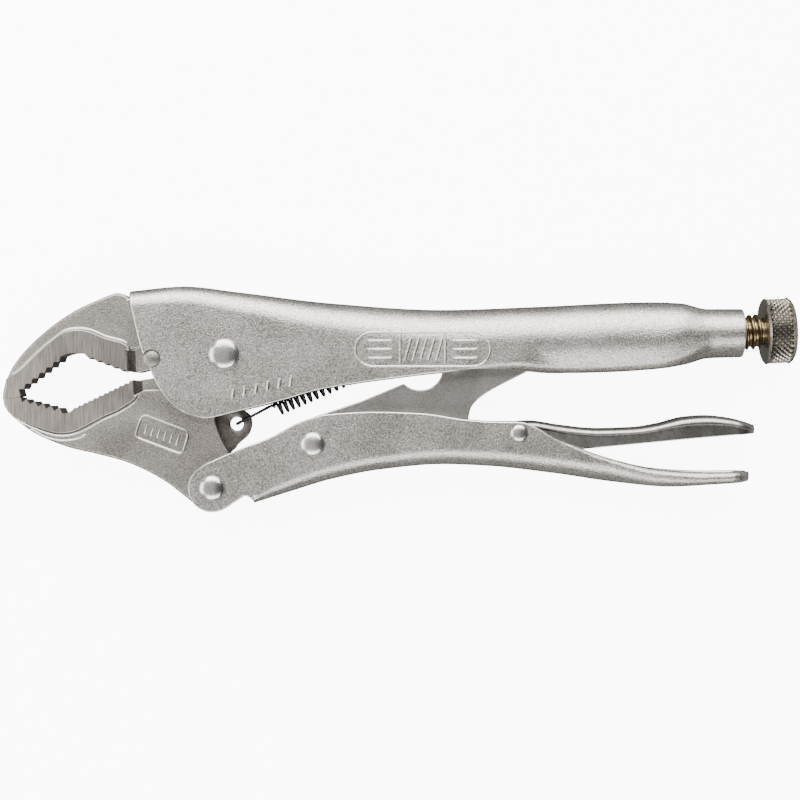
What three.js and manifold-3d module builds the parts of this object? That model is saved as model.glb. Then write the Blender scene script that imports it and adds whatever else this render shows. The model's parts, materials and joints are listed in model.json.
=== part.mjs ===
// Locking pliers with curved jaws, lying on one side, in millimetres.
// +X runs from the jaw tips to the adjusting knob, +Z is the direction of every rivet.
// All sizes below are measured from the main pivot. The last group moves the whole
// tool so that its origin is the centre of its bounding box, on the surface it lies on.

import * as THREE from "three";
import { mergeVertices } from "three/addons/utils/BufferGeometryUtils.js";
import Module from "manifold-3d";

const wasm = await Module();
wasm.setup();

// ---------------------------------------------------------------- driving dimensions

const SHEET = 2.2; // thickness of the pressed steel of both handles
const JAW_HALF = 6.35; // half of the 12.7 mm thickness of the forged jaws
const PLAY = 0.3; // gap between the jaws and the handle cheeks
const CHEEK_IN = JAW_HALF + PLAY;
const CHEEK_OUT = CHEEK_IN + SHEET;

const JAW_PIVOT = { x: 0, y: 0, head: 4.95, shank: 3.6, rise: 1.8 };
const HANDLE_PIVOT = { x: -3.9, y: -42.9, head: 4.1, shank: 2.9, rise: 1.65 };
const LINK_PIVOT = { x: 28.3, y: -28.8, head: 3.9, shank: 2.8, rise: 1.6 };
const LEVER_PIVOT = { x: 94.3, y: -25.3, head: 2.8, shank: 1.9, rise: 1.1 };
const HOLE_PLAY = 0.25; // radial gap of every shank in its hole
const HEAD_GAP = 0.15; // between a rivet head and the cheek under it

const EAR_RADIUS = 11; // movable jaw round the main pivot
const TANG_RADIUS = 12; // fixed jaw round the main pivot
const TANG_HALF = 2.8;
const SLOT_HALF = 3.1; // half of the slot between the movable jaw's ears
const PAD_STEP = 1.1; // how far the necks behind the gripping pads are cut back
const NOSE_HALF = 4.6; // half of the jaws' thickness at their tips

const SCREW_TILT = THREE.MathUtils.degToRad(2.5);
const SCREW_POINT = { x: 160.7, y: 6.95 }; // a point on the screw's axis
const SCREW_NOSE = -40.4; // nose of the screw, along its axis from that point
const SCREW_END = 21.3;
const THREAD_PITCH = 2.1;
const THREAD_OUT = 5.8;
const THREAD_ROOT = 4.75;
const NECK_BORE = 6.15;
const KNOB_RADIUS = 10.8;
const KNOB_FROM = 13.0;
const KNOB_TO = 22.7;
const KNOB_SEAT = 4.0; // radius of the plain end of the screw inside the knob

const LINK_HALF = 4;
const LINK_END = { x: 113, y: 4.9, r: 4 };
const TAB_HALF = 1.75;
const TAB_HOLE = { x: 3.3, y: -22.4, r: 2.2 };
const LUG_HALF = 1.2;
const LUG_HOLE = { x: 62.7, y: 3.5, r: 1.7 };
const WIRE = 0.56;
const COIL_RADIUS = 2.35; // middle of the wire
const COIL_PITCH = 1.8;

const ARC_STEPS = 4; // facets in a quarter bend of the pressed handles
const ORIGIN_SHIFT = { x: -56.0, y: 14.3, z: KNOB_RADIUS };

const NICKEL = { color: 0xb4b1aa, roughness: 0.42, metalness: 0.9 };
const FORGED = { color: 0xa39d96, roughness: 0.5, metalness: 0.9 };
const DARK_NICKEL = { color: 0x7d7974, roughness: 0.4, metalness: 0.9 };
const POLISHED = { color: 0xc8c6c1, roughness: 0.22, metalness: 1 };
const YELLOW_ZINC = { color: 0xa8935a, roughness: 0.35, metalness: 0.9 };
const BLACK_WIRE = { color: 0x1c1d1e, roughness: 0.45, metalness: 0.6 };

// ---------------------------------------------------------------- solids

/** A closed geometry as a manifold-3d solid, turned right side out. */
function solid(geometry) {
  const plain = geometry.clone();
  plain.deleteAttribute("normal");
  plain.deleteAttribute("uv");
  const merged = mergeVertices(plain, 1e-4);
  const vertProperties = new Float32Array(merged.attributes.position.array);
  const triVerts = new Uint32Array(merged.index.array);
  const made = new wasm.Manifold(new wasm.Mesh({ numProp: 3, vertProperties, triVerts }));
  if (made.volume() >= 0) return made;
  for (let i = 0; i < triVerts.length; i += 3) {
    [triVerts[i + 1], triVerts[i + 2]] = [triVerts[i + 2], triVerts[i + 1]];
  }
  return new wasm.Manifold(new wasm.Mesh({ numProp: 3, vertProperties, triVerts }));
}

/** The finished solid as a named mesh with its own material. */
function mesh(name, made, finish) {
  const data = made.getMesh();
  const geometry = new THREE.BufferGeometry();
  geometry.setAttribute("position", new THREE.BufferAttribute(data.vertProperties, 3));
  geometry.setIndex(new THREE.BufferAttribute(data.triVerts, 1));
  geometry.computeVertexNormals();
  const result = new THREE.Mesh(geometry, new THREE.MeshStandardMaterial(finish));
  result.name = name;
  return result;
}

/** A flat outline in the XY plane, made thick from one height to another. */
function plate(points, from, to) {
  const geometry = new THREE.ExtrudeGeometry(new THREE.Shape(points), {
    depth: to - from,
    bevelEnabled: false,
  });
  return solid(geometry.translate(0, 0, from));
}

/** A round bar along Z. */
function bar(at, radius, from, to, facets = 28) {
  const geometry = new THREE.CylinderGeometry(radius, radius, to - from, facets);
  geometry.rotateX(Math.PI / 2);
  return solid(geometry.translate(at.x, at.y, (from + to) / 2));
}

/** The hole for a shank, through everything. */
function shankHole(pivot) {
  return bar(pivot, pivot.shank + HOLE_PLAY, -20, 20);
}

/** A solid turned about the screw's axis; a profile point is [along the axis, radius]. */
function turned(profile, facets) {
  const geometry = new THREE.LatheGeometry(
    profile.map(([s, r]) => new THREE.Vector2(r, s)),
    facets,
  );
  geometry.rotateZ(SCREW_TILT - Math.PI / 2);
  return solid(geometry.translate(SCREW_POINT.x, SCREW_POINT.y, 0));
}

/** A closed skin over rings of points that all have the same count; the end rings are convex. */
function loft(rings) {
  const count = rings[0].length;
  const index = [];
  for (let i = 0; i + 1 < rings.length; i++) {
    for (let j = 0; j < count; j++) {
      const a = i * count + j;
      const b = i * count + ((j + 1) % count);
      index.push(a, b, b + count, a, b + count, a + count);
    }
  }
  const last = (rings.length - 1) * count;
  for (let j = 1; j + 1 < count; j++) {
    index.push(0, j + 1, j, last, last + j, last + j + 1);
  }
  const geometry = new THREE.BufferGeometry().setFromPoints(rings.flat());
  geometry.setIndex(index);
  return solid(geometry);
}

// ---------------------------------------------------------------- outlines

const vec = ([x, y]) => new THREE.Vector2(x, y);

/** A smooth curve through a few points, as a run of short chords. */
function curve(points, stepsEach = 3) {
  const through = new THREE.CatmullRomCurve3(
    points.map(([x, y]) => new THREE.Vector3(x, y, 0)),
    false,
    "centripetal",
  );
  return through.getPoints((points.length - 1) * stepsEach).map((p) => new THREE.Vector2(p.x, p.y));
}

/** Part of a circle, from one angle to another in degrees. */
function arc(centre, radius, from, to, steps = 8) {
  const points = [];
  for (let i = 0; i <= steps; i++) {
    const angle = THREE.MathUtils.degToRad(from + ((to - from) * i) / steps);
    points.push(
      new THREE.Vector2(centre.x + radius * Math.cos(angle), centre.y + radius * Math.sin(angle)),
    );
  }
  return points;
}

/** Saw teeth between two points: each one rises to `depth` at `crest` (0 to 1) of its pitch. */
function teeth([x0, y0], [x1, y1], count, depth, crest) {
  const from = new THREE.Vector2(x0, y0);
  const step = new THREE.Vector2(x1 - x0, y1 - y0).divideScalar(count);
  const out = new THREE.Vector2(-step.y, step.x).setLength(depth);
  const points = [from.clone()];
  for (let i = 0; i < count; i++) {
    points.push(from.clone().addScaledVector(step, i + crest).add(out));
    points.push(from.clone().addScaledVector(step, i + 1));
  }
  return points;
}

/** A value that changes smoothly along X through [x, value] keys, without overshoot. */
function along(keys) {
  const slope = (i) => (keys[i + 1][1] - keys[i][1]) / (keys[i + 1][0] - keys[i][0]);
  const tangents = keys.map((_, i) => {
    if (i === 0) return slope(0);
    if (i === keys.length - 1) return slope(i - 1);
    const [a, b] = [slope(i - 1), slope(i)];
    return a * b <= 0 ? 0 : (2 * a * b) / (a + b);
  });
  return (x) => {
    if (x <= keys[0][0]) return keys[0][1];
    const i = keys.findIndex((key) => x < key[0]) - 1;
    if (i < 0) return keys[keys.length - 1][1];
    const h = keys[i + 1][0] - keys[i][0];
    const t = (x - keys[i][0]) / h;
    return (
      (2 * t ** 3 - 3 * t ** 2 + 1) * keys[i][1] +
      (t ** 3 - 2 * t ** 2 + t) * h * tangents[i] +
      (3 * t ** 2 - 2 * t ** 3) * keys[i + 1][1] +
      (t ** 3 - t ** 2) * h * tangents[i + 1]
    );
  };
}

/** Evenly spaced stations from one X to another. */
function stations(from, to, count) {
  return Array.from({ length: count + 1 }, (_, i) => from + ((to - from) * i) / count);
}

/** A box section with rounded corners across the tool at one X. */
function boxSection(x, { half, top, bottom, topRadius, bottomRadius }) {
  const high = Math.min(topRadius, half - 0.15);
  const low = Math.min(bottomRadius, half - 0.15, top - high - bottom - 0.15);
  const corners = [
    [half - high, top - high, high, 0],
    [high - half, top - high, high, 90],
    [low - half, bottom + low, low, 180],
    [half - low, bottom + low, low, 270],
  ];
  return corners.flatMap(([z, y, r, start]) =>
    arc({ x: z, y }, r, start, start + 90, ARC_STEPS).map((p) => new THREE.Vector3(x, p.y, p.x)),
  );
}

// ---------------------------------------------------------------- upper handle

const HANDLE_TOP = along([
  [-31, 20.4],
  [-13, 22],
  [3, 20.3],
  [34, 16.7],
  [70, 14.6],
  [100, 15.6],
  [138, 17.1],
  [147, 16.8],
  [156, 14.9],
  [168, 14.9],
]);
const HANDLE_BOTTOM = along([
  [-7, -20.5],
  [4.5, -18.3],
  [18.5, -14.8],
  [31, -11.3],
  [50, -8.3],
  [76, -5.5],
  [92, -5.0],
  [106, -6.0],
  [122, -5.7],
  [140, -4.6],
  [149, -3.1],
  [156, -1.2],
  [168, -0.8],
]);
const HANDLE_HALF = along([
  [60, CHEEK_OUT],
  [105, 9.3],
  [142, 9.2],
  [156, 7.95],
]);
const TOP_BEND = along([
  [-31, 5],
  [0, 5.6],
  [40, 8.6],
  [80, 9.2],
]);
const BOTTOM_BEND = along([
  [72, 0.25],
  [84, 2.4],
  [100, 4.7],
  [119, 5.2],
  [138, 9.2],
]);
const CLOSED_FROM = 80; // ahead of this the handle is open below

/** The outside of the pressed handle, from the front of its web to the end of its neck. */
function handleOutside() {
  const at = (x, inset = 0) =>
    boxSection(x, {
      half: HANDLE_HALF(x) - inset,
      top: HANDLE_TOP(x) - inset,
      bottom: HANDLE_BOTTOM(x) + inset,
      topRadius: TOP_BEND(x) - inset,
      bottomRadius: BOTTOM_BEND(x),
    });
  const rings = [...stations(-32, 136, 19), ...stations(141, 158, 5), 166.3].map((x) => at(x));
  return loft([...rings, at(167.2, 0.9)]);
}

/** The hollow of the handle: open below at the front, closed round the screw at the back. */
function handleHollow() {
  const rings = [...stations(-40, CLOSED_FROM - 3, 12), ...stations(CLOSED_FROM, 150, 9)].map((x) =>
    boxSection(x, {
      half: HANDLE_HALF(x) - SHEET,
      top: HANDLE_TOP(x) - SHEET,
      bottom: x < CLOSED_FROM ? HANDLE_BOTTOM(x) - 5 : HANDLE_BOTTOM(x) + SHEET,
      topRadius: TOP_BEND(x) - SHEET,
      bottomRadius: Math.max(BOTTOM_BEND(x) - SHEET, 0.25),
    }),
  );
  return loft(rings);
}

/** What is cut away ahead of the cheeks' swept front edge. */
function handleFrontWaste() {
  const edge = curve([
    [-30.9, 24],
    [-30.7, 19.2],
    [-28.8, 10.3],
    [-26.5, 1.3],
    [-24.2, -3.8],
    [-21.7, -9.5],
    [-17.3, -15.6],
    [-12, -19.3],
    [-6.5, -20.6],
    [0, -21.5],
  ]);
  return plate([vec([-60, -40]), vec([0, -40]), ...edge.reverse(), vec([-60, 24])], -20, 20);
}

/** The slot below the handle that the link passes through, seen from below. */
function linkSlot() {
  const side = [
    [70, CHEEK_IN],
    [CLOSED_FROM, CHEEK_IN - 0.1],
    [92, 5],
    [100, LINK_HALF + 0.5],
  ].map(vec);
  const end = arc({ x: 112.5, y: 0 }, LINK_HALF + 0.5, 90, -90);
  const mirrored = side.map((p) => new THREE.Vector2(p.x, -p.y)).reverse();
  const geometry = new THREE.ExtrudeGeometry(new THREE.Shape([...side, ...end, ...mirrored]), {
    depth: 28,
    bevelEnabled: false,
  });
  geometry.rotateX(Math.PI / 2);
  return solid(geometry.translate(0, -1, 0));
}

/** The small lug under the web that holds the back end of the spring. */
function springLug() {
  const outline = [
    [-4.6, 10.5],
    [-3.1, -1],
    [-1.6, -3],
    [1.6, -3],
    [3.1, -1],
    [4.6, 10.5],
  ].map(([x, y]) => vec([LUG_HOLE.x + x, LUG_HOLE.y + y]));
  return plate(outline, -LUG_HALF, LUG_HALF).subtract(bar(LUG_HOLE, LUG_HOLE.r, -5, 5, 16));
}

const BOSS = { x: -23.3, y: -1.4, r: 2.9 };

function upperHandle() {
  const neckBore = turned(
    [
      [-20, 0],
      [-20, NECK_BORE],
      [12, NECK_BORE],
      [12, 0],
    ],
    32,
  );
  return handleOutside()
    .subtract(handleHollow())
    .subtract(handleFrontWaste())
    .subtract(linkSlot())
    .subtract(neckBore)
    .subtract(bar(BOSS, BOSS.r + PLAY, -20, 20))
    .subtract(shankHole(JAW_PIVOT))
    .add(springLug());
}

// ---------------------------------------------------------------- jaws

/** Both jaws get thinner towards their tips: the space they fit in, as a wedge seen from above. */
function noseTaper() {
  const side = [
    [-75, NOSE_HALF],
    [-70, NOSE_HALF],
    [-40, JAW_HALF],
    [-30, JAW_HALF + 5],
    [20, JAW_HALF + 5],
  ].map(vec);
  const mirrored = side.map((p) => new THREE.Vector2(p.x, -p.y)).reverse();
  const geometry = new THREE.ExtrudeGeometry(new THREE.Shape([...side, ...mirrored]), {
    depth: 90,
    bevelEnabled: false,
  });
  geometry.rotateX(Math.PI / 2);
  return solid(geometry.translate(0, 30, 0));
}

/** The fixed jaw's outline from the tip over its back, into the handle and along its teeth. */
function fixedJawOutline() {
  const back = curve([
    [-71.9, -14.3],
    [-71.5, -10.8],
    [-69.1, -4.4],
    [-63.8, 2.3],
    [-56.1, 9.1],
    [-48.4, 14.2],
    [-41, 17.6],
    [-36, 19.6],
    [-33.6, 19.7],
    [-31.6, 18.7],
    [-31.35, 16.6],
  ]);
  const shank = [
    [-28, 16.4],
    [-6, 17],
  ].map(vec);
  const clearOfEars = arc(JAW_PIVOT, EAR_RADIUS + 0.6, 120, 199, 8);
  const throat = curve([
    [-24.7, -5],
    [-28.4, -5.8],
    [-31.4, -5.4],
  ]);
  const rear = teeth([-31.9, -4.9], [-45.2, 0.1], 5, 0.75, 0.25);
  const front = teeth([-50.3, 1], [-67, -12.2], 7, 1.35, 0.55);
  return [...back, ...shank, ...clearOfEars, ...throat, ...rear, ...front, vec([-67, -13.7])];
}

function fixedJaw() {
  const neck = plate(
    [
      [-28.6, -8],
      [-28.6, 1.2],
      [-27.6, 2.3],
      [-24.6, 3.4],
      [-15, 3.4],
      [-15, -8],
    ].map(vec),
    JAW_HALF - PAD_STEP,
    20,
  );
  const tang = [
    [-14, 15],
    [-14, -3.6],
    [-10, -3.4],
    [0, 0],
    [-2, 15],
  ].map(vec);
  let jaw = plate(fixedJawOutline(), -JAW_HALF, JAW_HALF);
  jaw = jaw.subtract(neck).subtract(neck.mirror([0, 0, 1]));
  jaw = jaw.add(bar(JAW_PIVOT, TANG_RADIUS, -TANG_HALF, TANG_HALF, 40));
  jaw = jaw.add(plate(tang, -TANG_HALF, TANG_HALF));
  const bossHeight = CHEEK_OUT - 0.25;
  jaw = jaw.add(bar(BOSS, BOSS.r, -bossHeight, bossHeight));
  return jaw.intersect(noseTaper()).subtract(shankHole(JAW_PIVOT));
}

/** The movable jaw's outline: teeth, ears, down the back edge and round the handle pivot. */
function movableJawOutline() {
  const front = teeth([-65.9, -15.4], [-52.4, -18.9], 5, 0.95, 0.5);
  const rear = teeth([-49.2, -18], [-29.4, -8.5], 12, 0.5, 0.5);
  const throat = curve([
    [-28, -8.2],
    [-23.4, -7.6],
    [-12, -6.2],
  ]);
  const ears = arc(JAW_PIVOT, EAR_RADIUS, 207, -52, 22);
  const backEdge = curve([
    [2.2, -13.4],
    [-2.4, -17.4],
    [-3.3, -21.1],
    [-1.2, -27.5],
    [2.2, -34],
    [3.9, -40.5],
  ]);
  const foot = arc(HANDLE_PIVOT, 7.8, -8, -128, 10);
  const belly = curve([
    [-12.5, -46.1],
    [-20.2, -40.3],
    [-30.4, -35.2],
    [-40.7, -32.2],
    [-51, -29.8],
    [-61.2, -25.6],
    [-68.4, -20.4],
    [-71.1, -17],
    [-71.7, -15.1],
  ]);
  return [...front, ...rear, ...throat, ...ears, ...backEdge, ...foot, ...belly, vec([-66.4, -13.9])];
}

/** The thin tab behind the movable jaw that takes the spring's front hook. */
function springTab() {
  const outline = [
    vec([-6, -30]),
    ...curve([
      [-0.2, -32.6],
      [2.6, -30.6],
      [3.8, -28.9],
      [7, -26],
      [8.2, -22.7],
      [7.7, -19.8],
      [6, -18.2],
      [1.5, -15.5],
    ]),
    vec([-6, -16]),
  ];
  return plate(outline, -TAB_HALF, TAB_HALF).subtract(bar(TAB_HOLE, TAB_HOLE.r, -5, 5, 20));
}

function movableJaw() {
  const neck = plate(
    [
      [-28.2, -5],
      [-28.2, -10.4],
      [-27.3, -11.4],
      [-15, -11.4],
      [-15, -5],
    ].map(vec),
    JAW_HALF - PAD_STEP,
    20,
  );
  return plate(movableJawOutline(), -JAW_HALF, JAW_HALF)
    .subtract(neck)
    .subtract(neck.mirror([0, 0, 1]))
    .subtract(bar(JAW_PIVOT, TANG_RADIUS + 1, -SLOT_HALF, SLOT_HALF, 40))
    .add(springTab())
    .intersect(noseTaper())
    .subtract(shankHole(JAW_PIVOT))
    .subtract(shankHole(HANDLE_PIVOT));
}

// ---------------------------------------------------------------- lower handle

const GRIP_FROM = 9.4; // ahead of this the lower handle is two bare cheeks
const GRIP_BOTTOM = along([
  [GRIP_FROM, -47.7],
  [21, -44.1],
  [34, -40.2],
  [50, -37.1],
  [70, -35.4],
  [85, -36],
  [105, -38.2],
  [126, -41.2],
  [143, -42.6],
  [156, -41.9],
  [169, -40.3],
]);
const GRIP_BEND = along([
  [GRIP_FROM - 0.1, 0.3],
  [GRIP_FROM, 3.6],
  [60, 4.6],
  [120, 6],
  [169, 6.5],
]);
const GRIP_HALF = along([
  [90, CHEEK_OUT],
  [125, 8.5],
  [169, 8.2],
]);

/** The side outline of the lower handle's cheeks. */
function gripOutline() {
  const topEdge = curve([
    [-6.1, -35.1],
    [4.1, -30.6],
    [14.7, -26.5],
    [24.3, -21.5],
    [33, -19.1],
    [48, -18.3],
    [63, -18.8],
    [78, -20.9],
    [88, -21.5],
    [94, -21.5],
    [107.3, -27.4],
    [126.5, -34.1],
    [140, -36.9],
    [156, -37.9],
    [172, -38],
  ]);
  const relief = arc({ x: 6.6, y: -48 }, 2.6, 8, 155, 8);
  const lobe = arc(HANDLE_PIVOT, 7.7, -62, -232, 16);
  const corner = GRIP_FROM + 0.2;
  return [...topEdge, vec([172, -60]), vec([corner, -60]), vec([corner, -47.6]), ...relief, ...lobe];
}

/** The rounded end of a pressed tail, as the waste left over when it is trimmed. */
function tailWaste(endX, half, radius) {
  const corner = (side) => {
    const centre = { x: endX - radius, y: side * (half - radius) };
    const bend = arc(centre, radius, 0, side * 90, 6);
    const outline = [
      vec([endX, 0]),
      ...bend,
      vec([endX - radius, side * 15]),
      vec([endX + 6, side * 15]),
      vec([endX + 6, 0]),
    ];
    const geometry = new THREE.ExtrudeGeometry(new THREE.Shape(outline), { depth: 40, bevelEnabled: false });
    geometry.rotateX(Math.PI / 2);
    return solid(geometry.translate(0, -10, 0));
  };
  return corner(1).add(corner(-1));
}

function lowerHandle() {
  const places = [-14, GRIP_FROM - 0.1, ...stations(GRIP_FROM, 171, 16)];
  const outside = loft(
    places.map((x) =>
      boxSection(x, {
        half: GRIP_HALF(x),
        top: 0,
        bottom: x < GRIP_FROM ? -58 : GRIP_BOTTOM(x),
        topRadius: 0.3,
        bottomRadius: GRIP_BEND(x),
      }),
    ),
  );
  const hollow = loft(
    [-20, GRIP_FROM - 0.3, ...stations(GRIP_FROM, 175, 16)].map((x) =>
      boxSection(x, {
        half: GRIP_HALF(x) - SHEET,
        top: 5,
        bottom: x < GRIP_FROM ? -64 : GRIP_BOTTOM(x) + SHEET,
        topRadius: 0.3,
        bottomRadius: Math.max(GRIP_BEND(x) - SHEET, 0.3),
      }),
    ),
  );
  return outside
    .subtract(hollow)
    .intersect(plate(gripOutline(), -20, 20))
    .subtract(tailWaste(169, 8.3, 7))
    .subtract(shankHole(HANDLE_PIVOT))
    .subtract(shankHole(LINK_PIVOT))
    .subtract(shankHole(LEVER_PIVOT));
}

// ---------------------------------------------------------------- link and lever

/** The toggle link's outline, with the notch that clears the spring's lug and its release foot. */
function linkOutline() {
  const hub = arc(LINK_PIVOT, 8.25, -70, -250, 12);
  const notch = arc({ x: 62.7, y: -3.9 }, 7.55, -134, -6, 8);
  const end = arc(LINK_END, LINK_END.r, 106, -48, 9);
  const underside = curve([
    [112, 0.2],
    [104, -2.3],
    [97.4, -5.5],
    [85.2, -11.8],
    [80, -15.9],
    [78.5, -19.5],
    [78.4, -22.5],
  ]);
  const foot = [
    [77.4, -23.5],
    [64, -24],
    [56, -26.6],
  ].map(vec);
  return [...hub, vec([43.3, -15.1]), ...notch, vec([71.4, -2.6]), ...end, ...underside, ...foot];
}

function toggleLink() {
  return plate(linkOutline(), -LINK_HALF, LINK_HALF)
    .add(bar(LINK_PIVOT, 6, -JAW_HALF, JAW_HALF))
    .subtract(shankHole(LINK_PIVOT));
}

const LEVER_TOP = along([
  [71, -26],
  [77.5, -25.6],
  [80.5, -21.2],
  [92, -21.4],
  [98, -21.2],
  [108, -22.6],
  [120, -23.7],
  [132, -23.3],
  [140, -22],
  [148, -20],
  [155, -19.5],
  [162, -20.3],
  [168, -22.2],
  [170.6, -24],
]);
const LEVER_BOTTOM = along([
  [71, -28.4],
  [82, -29.6],
  [94, -31],
  [106, -31.2],
  [116, -30.4],
  [133, -28.8],
  [159, -26.4],
  [170.6, -25.1],
]);
const LEVER_HALF = 6.2;
const LEVER_WALL = 1.9;

/** The release lever: a pressed channel, open below, with a finger pad at its tail. */
function releaseLever() {
  const section = (x, inset, drop) =>
    boxSection(x, {
      half: LEVER_HALF - inset,
      top: LEVER_TOP(x) - inset,
      bottom: LEVER_BOTTOM(x) - drop,
      topRadius: Math.min(3.6 - inset * 0.8, LEVER_TOP(x) - LEVER_BOTTOM(x) - 1),
      bottomRadius: 0.3,
    });
  const outside = loft([...stations(71, 81, 3), ...stations(86, 171, 15)].map((x) => section(x, 0, 0)));
  const hollow = loft(stations(84, 158, 12).map((x) => section(x, LEVER_WALL, 4)));
  return outside.subtract(hollow).subtract(tailWaste(171, 6.4, 5.5)).subtract(shankHole(LEVER_PIVOT));
}

// ---------------------------------------------------------------- screw, knob and rivets

/** The adjusting screw, its thread drawn as plain rings. */
function adjustingScrew() {
  const profile = [
    [SCREW_NOSE, 0],
    [SCREW_NOSE, 3.6],
    [SCREW_NOSE + 1.6, THREAD_ROOT],
    [SCREW_NOSE + 2.4, THREAD_OUT - 0.1],
    [2.5, THREAD_OUT - 0.1],
  ];
  for (let s = 3.4; s < KNOB_FROM - 1; s += THREAD_PITCH) {
    profile.push([s, THREAD_ROOT], [s + THREAD_PITCH * 0.45, THREAD_OUT]);
    profile.push([s + THREAD_PITCH * 0.55, THREAD_OUT]);
  }
  profile.push([KNOB_FROM - 0.3, THREAD_ROOT], [KNOB_FROM - 0.3, KNOB_SEAT], [SCREW_END, KNOB_SEAT], [SCREW_END, 0]);
  return turned(profile, 24);
}

function adjustingKnob() {
  return turned(
    [
      [SCREW_END + PLAY, 0],
      [SCREW_END + PLAY, KNOB_SEAT + PLAY],
      [KNOB_FROM, KNOB_SEAT + PLAY],
      [KNOB_FROM, KNOB_RADIUS - 2.6],
      [KNOB_FROM + 0.7, KNOB_RADIUS - 1.1],
      [KNOB_FROM + 2, KNOB_RADIUS],
      [KNOB_TO - 1.6, KNOB_RADIUS],
      [KNOB_TO - 0.5, KNOB_RADIUS - 0.9],
      [KNOB_TO, KNOB_RADIUS - 2.4],
      [KNOB_TO, 0],
    ],
    40,
  );
}

/** A rivet with a domed head on each cheek. */
function rivet({ x, y, head, shank, rise }) {
  const seat = CHEEK_OUT + HEAD_GAP;
  const dome = (side) =>
    [0, 0.3, 0.62, 0.86, 1].map((share) => [side * (seat + rise * Math.sqrt(1 - share ** 2)), head * share]);
  const profile = [...dome(-1), [-seat, shank], [seat, shank], ...dome(1).reverse()];
  const geometry = new THREE.LatheGeometry(
    profile.map(([z, r]) => new THREE.Vector2(r, z)),
    24,
  );
  geometry.rotateX(Math.PI / 2);
  return solid(geometry.translate(x, y, 0));
}

// ---------------------------------------------------------------- spring

/** The middle line of the spring: a hook, the coils, a hook. */
class SpringLine extends THREE.Curve {
  constructor() {
    super();
    const from = new THREE.Vector3(TAB_HOLE.x, TAB_HOLE.y, 0);
    const to = new THREE.Vector3(LUG_HOLE.x, LUG_HOLE.y, 0);
    this.axis = to.clone().sub(from).normalize();
    this.side = new THREE.Vector3(-this.axis.y, this.axis.x, 0);
    this.from = from;
    const length = to.distanceTo(from);
    const clearTab = TAB_HALF + WIRE + 0.3;
    const clearLug = LUG_HALF + WIRE + 0.3;
    const coilFrom = 15;
    const coilTo = length - 8;
    const turns = Math.round((coilTo - coilFrom) / COIL_PITCH);
    const points = [
      this.place(0.6, 0, -clearTab - 0.6),
      this.place(0.2, 0, 0),
      this.place(1.4, 0, clearTab),
      this.place(6.5, 0.2, clearTab),
      this.place(12, 1, 1.6),
    ];
    for (let i = 0; i <= turns * 8; i++) {
      const angle = (i / 8) * 2 * Math.PI;
      const s = coilFrom + ((coilTo - coilFrom) * i) / (turns * 8);
      points.push(this.place(s, COIL_RADIUS * Math.cos(angle), COIL_RADIUS * Math.sin(angle)));
    }
    points.push(
      this.place(length - 6, 1, 1.2),
      this.place(length - 3.4, 0.2, clearLug),
      this.place(length - 1, 0, clearLug),
      this.place(length, 0, 0),
      this.place(length - 0.2, 0, -clearLug - 0.5),
    );
    this.run = new THREE.CatmullRomCurve3(points, false, "centripetal");
  }

  place(s, across, z) {
    return this.from
      .clone()
      .addScaledVector(this.axis, s)
      .addScaledVector(this.side, across)
      .setZ(z);
  }

  getPoint(t, target = new THREE.Vector3()) {
    return this.run.getPoint(t, target);
  }
}

function jawSpring() {
  const line = new SpringLine();
  const section = new THREE.Shape(arc({ x: 0, y: 0 }, WIRE, 0, 288, 4));
  const geometry = new THREE.ExtrudeGeometry(section, {
    extrudePath: line,
    steps: line.run.points.length - 1,
    bevelEnabled: false,
  });
  return solid(geometry);
}

// ---------------------------------------------------------------- the tool

const pliers = new THREE.Group();
pliers.add(
  mesh("upper_handle", upperHandle(), NICKEL),
  mesh("fixed_jaw", fixedJaw(), FORGED),
  mesh("movable_jaw", movableJaw(), FORGED),
  mesh("lower_handle", lowerHandle(), NICKEL),
  mesh("toggle_link", toggleLink(), DARK_NICKEL),
  mesh("release_lever", releaseLever(), DARK_NICKEL),
  mesh("adjusting_screw", adjustingScrew(), YELLOW_ZINC),
  mesh("adjusting_knob", adjustingKnob(), NICKEL),
  mesh("jaw_spring", jawSpring(), BLACK_WIRE),
  mesh("main_pivot_rivet", rivet(JAW_PIVOT), POLISHED),
  mesh("jaw_handle_rivet", rivet(HANDLE_PIVOT), POLISHED),
  mesh("link_rivet", rivet(LINK_PIVOT), POLISHED),
  mesh("lever_pin", rivet(LEVER_PIVOT), POLISHED),
);
pliers.position.set(ORIGIN_SHIFT.x, ORIGIN_SHIFT.y, ORIGIN_SHIFT.z);

export default pliers;
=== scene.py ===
"""Locking pliers with curved jaws: the finished surfaces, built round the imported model.

Shapes are drawn in millimetres from the main pivot, with +X towards the adjusting knob and
+Z along every rivet, and are then carried to the pivot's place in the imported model.
"""

import json
import logging
import math
from dataclasses import dataclass
from enum import Enum
from typing import Callable, Iterable, Sequence

import bpy
from mathutils import Matrix, Vector


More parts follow.
